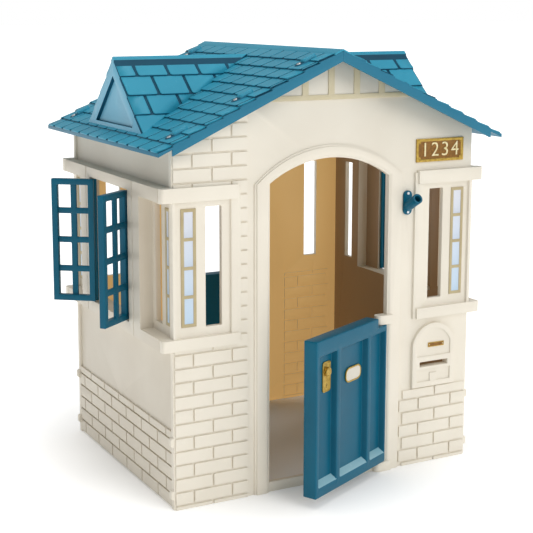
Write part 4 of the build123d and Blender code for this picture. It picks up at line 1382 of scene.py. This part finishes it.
@dataclass
class RoofScrews:
    """Pan-head screws with a cross recess, one pattern copied to every place."""

    finishes: Finishes
    radius: float = 6.5 * MM
    height: float = 3.0 * MM
    slot_half: float = 0.6 * MM
    slot_reach: float = 2.8 * MM
    slot_depth: float = 1.3 * MM
    crown_round: float = 1.6 * MM
    crown_facing: float = 0.95
    crown_slack: float = 0.05 * MM
    decimals: int = 4                     # of a metre, which put the screws in a fixed order
    spin_deg: float = 37.0                # from each screw to the next, as no two stop alike
    smooth: float = math.radians(40)

    def pattern(self) -> bpy.types.Object:
        """Model the head with its top at the origin, facing up.

        Returns:
            The head.
        """
        bench = Bench.rod("screw_pattern", (0, 0, -self.height), (0, 0, 0), self.radius, 20)
        bench.choose_edges(lambda start, end: min(start.z, end.z) > -HAIR)
        bench.round_edges(self.crown_round, 3)
        for axis in (Vector((1, 0, 0)), Vector((0, 1, 0))):
            for place in (-self.slot_reach, -self.slot_half, self.slot_half, self.slot_reach):
                bench.cut(axis * place, axis)
        bench.choose(lambda facing, at: facing.z > self.crown_facing and self.in_cross(at))
        bench.push((0, 0, -self.slot_depth))
        screw = bench.off()
        bpy.ops.object.shade_smooth_by_angle(angle=self.smooth)
        return screw

    def in_cross(self, point: Vector) -> bool:
        """True inside the cross recess."""
        small, large = sorted((abs(point.x), abs(point.y)))
        return small < self.slot_half and large < self.slot_reach

    def heads(self) -> list[tuple[Vector, Vector]]:
        """Top and outward direction of every screw of the CAD group.

        Returns:
            A point and a direction for each screw.
        """
        slope = RoofSlope.of_house()
        mesh = bmesh.new()
        mesh.from_mesh(frame["nodes"]["roof_screws"].data)
        bmesh.ops.remove_doubles(mesh, verts=mesh.verts, dist=MERGE / 2)
        places = []
        left = set(mesh.verts)
        while left:
            island = self.island(left)
            middle = sum(island, Vector()) / len(island)
            outward = slope.outward
            if middle.x > 0:
                outward = Vector((-outward.x, 0.0, outward.z))
            top = max(point.dot(outward) for point in island)
            crown = [point for point in island if point.dot(outward) > top - self.crown_slack]
            places.append((sum(crown, Vector()) / len(crown), outward))
        mesh.free()
        return sorted(places, key=lambda place: [round(value, self.decimals)
                                                 for value in place[0]])

    def island(self, left: set) -> list[Vector]:
        """Take one connected solid out of the vertices that are left, as points."""
        stack = [left.pop()]
        points = []
        while stack:
            vertex = stack.pop()
            points.append(vertex.co.copy())
            for edge in vertex.link_edges:
                other = edge.other_vert(vertex)
                if other in left:
                    left.discard(other)
                    stack.append(other)
        return sorted(points, key=tuple)

    def build(self) -> None:
        """Copy the pattern to every place and join the copies."""
        pattern = self.pattern()
        copies = []
        for number, (top, outward) in enumerate(self.heads()):
            turn = outward.to_track_quat("Z", "Y").to_matrix().to_4x4()
            spin = Matrix.Rotation(math.radians(self.spin_deg * number), 4, "Z")
            copies.append(copied(pattern, f"roof_screw_{number}",
                                 Matrix.Translation(top) @ turn @ spin))
        removed(pattern)
        set_down(joined(copies, "roof_screw_heads"), "house", Slot.STEEL,
                 self.finishes.steel, "roof_screws")


@dataclass
class Shingles:
    """Raised shingles on the roof slopes and dormers, with rounded lower corners and open joints."""

    finishes: Finishes
    pitch: float = 77 * MM
    gap: float = 9 * MM
    rise: float = 5 * MM
    thick: float = 4.2 * MM
    root: float = 1.0 * MM
    corner: float = 6.0 * MM
    edge_radius: float = 1.4 * MM
    courses: int = 11
    first_row: float = 42 * MM
    ridge_row: float = 24.6 * MM
    stagger: tuple[float, float] = (0.8, 0.3)         # of the pitch, in turn by course
    rake_margin: float = 9 * MM
    dormer_pitch: float = 100 * MM
    dormer_courses: int = 4
    dormer_columns: int = 7
    dormer_stagger: tuple[float, float] = (0.05, 0.5)
    dormer_margin: float = 2 * MM
    ridge_strip: float = 24 * MM
    sideways: float = 0.5                 # share of its normal by which an edge looks sideways

    def tile(self, length: float, width: float, shadowed: bool) -> bpy.types.Object:
        """Model one shingle: its lower edge at the origin, uphill along X, its top facing Z.

        Args:
            length: Along the slope.
            width: Across the slope.
            shadowed: Whether its lower edge takes the painted shade of the joints beside it.

        Returns:
            The shingle.
        """
        bench = Bench.block("shingle_pattern", (0, -width / 2, -self.root),
                            (length, width / 2, self.thick), self.finishes.blue)
        bench.choose_edges(lambda start, end: max(start.x, end.x) < MM
                           and abs(start.z - end.z) > MM)
        bench.round_edges(self.corner, 3)
        bench.choose_edges(lambda start, end: min(start.z, end.z) > self.thick - HAIR
                           and (start.x + end.x) / 2 < length - HAIR)
        bench.round_edges(self.edge_radius, 1)
        # painted shade: the shingle's sides, and its lower edge where shadowed, take the deep blue
        bench.choose(lambda facing, at: facing.z < LEANING
                     and (shadowed or abs(facing.y) > self.sideways))
        bench.paint(self.finishes.painted_shade_blue)
        tile = bench.off()
        bpy.ops.object.shade_smooth_by_angle(angle=SHARP)
        return tile

    def course(self, low: Vector, uphill: Vector, along: Vector, span: float, width: float,
               places: Sequence[float], shadowed: bool) -> list[bpy.types.Object]:
        """Lay one course of shingles.

        Args:
            low: Point on the course's lower edge.
            uphill: Direction up the slope.
            along: Direction along the course.
            span: Length of the course, up the slope.
            width: Width of a shingle.
            places: Middle of each shingle, along the course from the point.
            shadowed: Whether the lower edges take painted shade.

        Returns:
            The shingles.
        """
        outward = uphill.cross(along)
        wedge = (uphill * span - outward * self.rise).normalized()
        pattern = self.tile(span, width, shadowed)
        turn = turn_to(wedge, along, wedge.cross(along))
        tiles = [copied(pattern, "shingle", Matrix.Translation(low + along * place) @ turn)
                 for place in places]
        removed(pattern)
        return tiles

    def trimmed(self, field: bpy.types.Object,
                *planes: tuple[Triple, Triple]) -> bpy.types.Object:
        """Cut off what lies past each plane, given by a point and a normal, and close the cuts."""
        for place, outer in planes:
            bench = Bench(field)
            bench.cut(place, outer, clear=True)
            bench.off()
        return field

    def roof_slope(self) -> bpy.types.Object:
        """Shingles of the left roof slope."""
        slope = RoofSlope.of_house()
        front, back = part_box("left_roof_panel")[0].y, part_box("left_roof_panel")[1].y
        step = (slope.run - self.first_row - self.ridge_row) / (self.courses - 1)
        edges = [0.0] + [self.first_row + step * row for row in range(self.courses)]
        along = Vector((0.0, 1.0, 0.0))
        tiles = []
        for row, (low, high) in enumerate(zip(edges, edges[1:])):
            span = (high - low) / math.cos(slope.angle)
            first = front + self.pitch * (self.stagger[row % 2] - 0.5)
            count = math.ceil((back - first) / self.pitch + 0.5)
            places = [first + self.pitch * number for number in range(count)]
            tiles += self.course(slope.point(low, 0.0), slope.uphill, along, span,
                                 self.pitch - self.gap, places, row > 0)
        return self.trimmed(joined(tiles), ((0, front + self.rake_margin, 0), (0, -1, 0)),
                            ((0, back - self.rake_margin, 0), (0, 1, 0)))

    def dormer_slope(self) -> bpy.types.Object:
        """Shingles of the left dormer's front slope, down to the valley with the roof."""
        slope = RoofSlope.of_house()
        low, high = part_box("left_dormer")
        middle = (low.y + high.y) / 2
        face, ridge = low.x, high.z
        half = (high.y - low.y) / 2
        foot = self.eaves_of_dormer(face)
        pitch = (ridge - foot) / half
        flat = math.cos(math.atan(pitch))
        uphill = Vector((0.0, flat, flat * pitch))
        along = Vector((-1.0, 0.0, 0.0))
        width = half / self.dormer_courses
        tiles = []
        for row in range(self.dormer_courses):
            across = width * (row + 1)
            edge = Vector((0.0, middle - across, ridge - pitch * across))
            strip = self.ridge_strip * flat if row == 0 else 0.0
            span = (width - strip) / flat
            start = -face - self.dormer_pitch * self.dormer_stagger[row % 2]
            places = [start - self.dormer_pitch * number for number in range(self.dormer_columns)]
            tiles += self.course(edge, uphill, along, span, self.dormer_pitch - self.gap,
                                 places, True)
        return self.trimmed(joined(tiles), ((face + self.dormer_margin, 0, 0), (-1, 0, 0)),
                            (slope.point(0.0, 0.0), -slope.outward))

    def eaves_of_dormer(self, face: float) -> float:
        """Height of the dormer's lowest shingle edge, at its face."""
        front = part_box("left_dormer")[0].y
        return max(point.z for point in points_of("left_dormer")
                   if point.y < front + HAIR and point.x < face + HAIR)

    def build(self) -> None:
        """Lay the shingles on both slopes and both dormers."""
        left = self.roof_slope()
        left.name = "left_roof_shingles"
        front = self.dormer_slope()
        dormer = joined([front, copied(front, "dormer_shingles_behind", end_mirror())],
                        "left_dormer_shingles")
        right = copied(left, "right_roof_shingles", half_turn())
        right_dormer = copied(dormer, "right_dormer_shingles", half_turn())
        for field in (left, right, dormer, right_dormer):
            set_down(field, "house", Slot.ROOF)


@dataclass
class RoofBosses:
    """Long raised bosses that run uphill from the roof screws."""

    finishes: Finishes
    length: float = 58 * MM
    width: float = 24 * MM
    seat: float = 10 * MM
    height: float = 12 * MM
    depth: float = 4 * MM
    corner: float = 8 * MM
    top_share: tuple[float, float, float] = (0.9, 0.8, 1.0)
    edge_radius: float = 2.0 * MM
    below_screw: float = 7 * MM
    ridge_clear: float = 98 * MM          # a screw nearer the ridge than this gets none

    def build(self) -> None:
        """Model one boss and copy it uphill of every screw that has room for it."""
        slope = RoofSlope.of_house()
        bench = Bench.block("boss_pattern", (self.seat, -self.width / 2, -self.depth),
                            (self.length, self.width / 2, self.height))
        bench.choose_edges(lambda start, end: abs(start.z - end.z) > MM)
        bench.round_edges(self.corner, 4)
        bench.choose(lambda facing, at: facing.z > FACING)
        bench.draft(self.top_share, ((self.seat + self.length) / 2, 0, self.height))
        pattern = soften(bench.off(), self.edge_radius, segments=3)
        bosses = []
        for number, (top, outward) in enumerate(RoofScrews(self.finishes).heads()):
            side = -1.0 if outward.x > 0 else 1.0
            uphill = Vector((side * slope.uphill.x, 0.0, slope.uphill.z))
            if abs(top.x) < self.ridge_clear:
                continue
            seat = Matrix.Translation(top - outward * self.below_screw)
            turn = turn_to(uphill, outward.cross(uphill), outward)
            bosses.append(copied(pattern, f"roof_boss_{number}", seat @ turn))
        removed(pattern)
        set_down(joined(bosses, "roof_screw_bosses"), "house", Slot.ROOF, self.finishes.blue)


# ---------------------------------------------------------------- studio


@dataclass(frozen=True)
class Studio:
    """White floor, white surroundings, soft lamps and the camera."""

    eye: Triple = (-1.8377, -3.0556, 1.3885)
    yaw_deg: float = 27.549
    pitch_deg: float = 9.378
    lens_mm: float = 85.0
    shift: tuple[float, float] = (0.025, -0.10)
    sensor_mm: float = 36.0
    farthest: float = 200.0
    floor_size: float = 160.0
    floor_middle: Triple = (0.0, 0.4, -0.0005)        # just under the feet of the walls
    glow_from: float = 0.38                           # the floor's glow starts at this distance
    glow_full: float = 0.85
    glow_power: float = 0.5
    sky: float = 0.52
    dim_sky: float = 0.34

    def camera(self) -> None:
        """Place the camera."""
        data = bpy.data.cameras.new("camera")
        data.lens = self.lens_mm
        data.sensor_width = self.sensor_mm
        data.shift_x, data.shift_y = self.shift
        data.clip_end = self.farthest
        camera = bpy.data.objects.new("camera", data)
        camera.location = self.eye
        turn = (Matrix.Rotation(math.radians(-self.yaw_deg), 3, "Z")
                @ Matrix.Rotation(math.radians(90.0 - self.pitch_deg), 3, "X"))
        camera.rotation_euler = turn.to_euler()
        bpy.context.scene.collection.objects.link(camera)
        bpy.context.scene.camera = camera

    def floor(self) -> None:
        """Lay the white floor, which glows a little: painted light that is nil near the house and grows
        with distance from it.
        """
        deselect_all()
        bpy.ops.mesh.primitive_plane_add(size=self.floor_size, location=self.floor_middle)
        floor = bpy.context.object
        floor.name = "floor"
        material, tree, shader, place = blank_material("white_sweep", 0.9)
        shader.inputs["Base Color"].default_value = linear("F2F2F1")
        shader.inputs["Emission Color"].default_value = linear("FFFFFF")
        away = add_node(tree, "VectorMath", {"operation": "LENGTH"}, in0=place)
        glow = add_node(tree, "MapRange", None, Value=away.outputs["Value"],
                        From_Min=self.glow_from, From_Max=self.glow_full, To_Max=self.glow_power)
        tree.links.new(glow.outputs["Result"], shader.inputs["Emission Strength"])
        floor.data.materials.append(material)

    def sun(self, name: str, toward: Triple, power: float, angle_deg: float) -> None:
        """Hang a distant soft lamp.

        Args:
            name: The lamp's name.
            toward: Direction from the house to the lamp.
            power: Its strength.
            angle_deg: How wide it looks from the house.
        """
        data = bpy.data.lights.new(name, "SUN")
        data.energy = power
        data.angle = math.radians(angle_deg)
        lamp = bpy.data.objects.new(name, data)
        lamp.rotation_euler = Vector(toward).to_track_quat("Z", "Y").to_euler()
        bpy.context.scene.collection.objects.link(lamp)

    def surroundings(self) -> None:
        """Fill the sky with white light, weaker on the left, that is seen as plain white."""
        world = bpy.data.worlds.new("white_studio")
        world.use_nodes = True
        tree = world.node_tree
        background = tree.nodes["Background"]
        background.inputs["Color"].default_value = linear("FFFFFF")
        sky_place = add_node(tree, "TexCoord").outputs["Generated"]
        way = add_node(tree, "SeparateXYZ", None, Vector=sky_place)
        sky = add_node(tree, "MapRange", None, Value=way.outputs["X"], From_Min=-1.0,
                       To_Min=self.dim_sky, To_Max=self.sky)
        seen = add_node(tree, "LightPath")
        power = add_node(tree, "MapRange", None, Value=seen.outputs["Is Camera Ray"],
                         To_Min=sky.outputs["Result"], To_Max=1.0)
        tree.links.new(power.outputs["Result"], background.inputs["Strength"])
        bpy.context.scene.world = world

    def build(self) -> None:
        """Set up the whole studio."""
        self.camera()
        self.floor()
        self.surroundings()
        self.sun("key", (0.30, -0.85, 0.65), 1.02, 40.0)
        self.sun("top", (-0.08, 0.0, 1.0), 1.05, 45.0)
        bpy.context.scene.view_settings.view_transform = "Standard"


# ---------------------------------------------------------------- assembly


def main() -> None:
    """Build the scene, and log each piece as it is set down or dressed."""
    logging.basicConfig(level=logging.INFO, format="%(name)s: %(message)s")
    Studio().build()
    finishes = Finishes.mix()
    for assembly in (Mouldings, HalfDoor, LockPlate, DoorBadge, Shutter, WindowLights,
                     NumberPlate, MailboxLabel, RoofScrews, Shingles, RoofBosses):
        assembly(finishes).build()
    for node in ("front_door_pins", "back_door_pins", "left_shutter_pins", "right_shutter_pins"):
        dress(node, finishes.pin)
    dress("flag_holder_screws", finishes.steel)


if __name__ == "__main__":
    main()
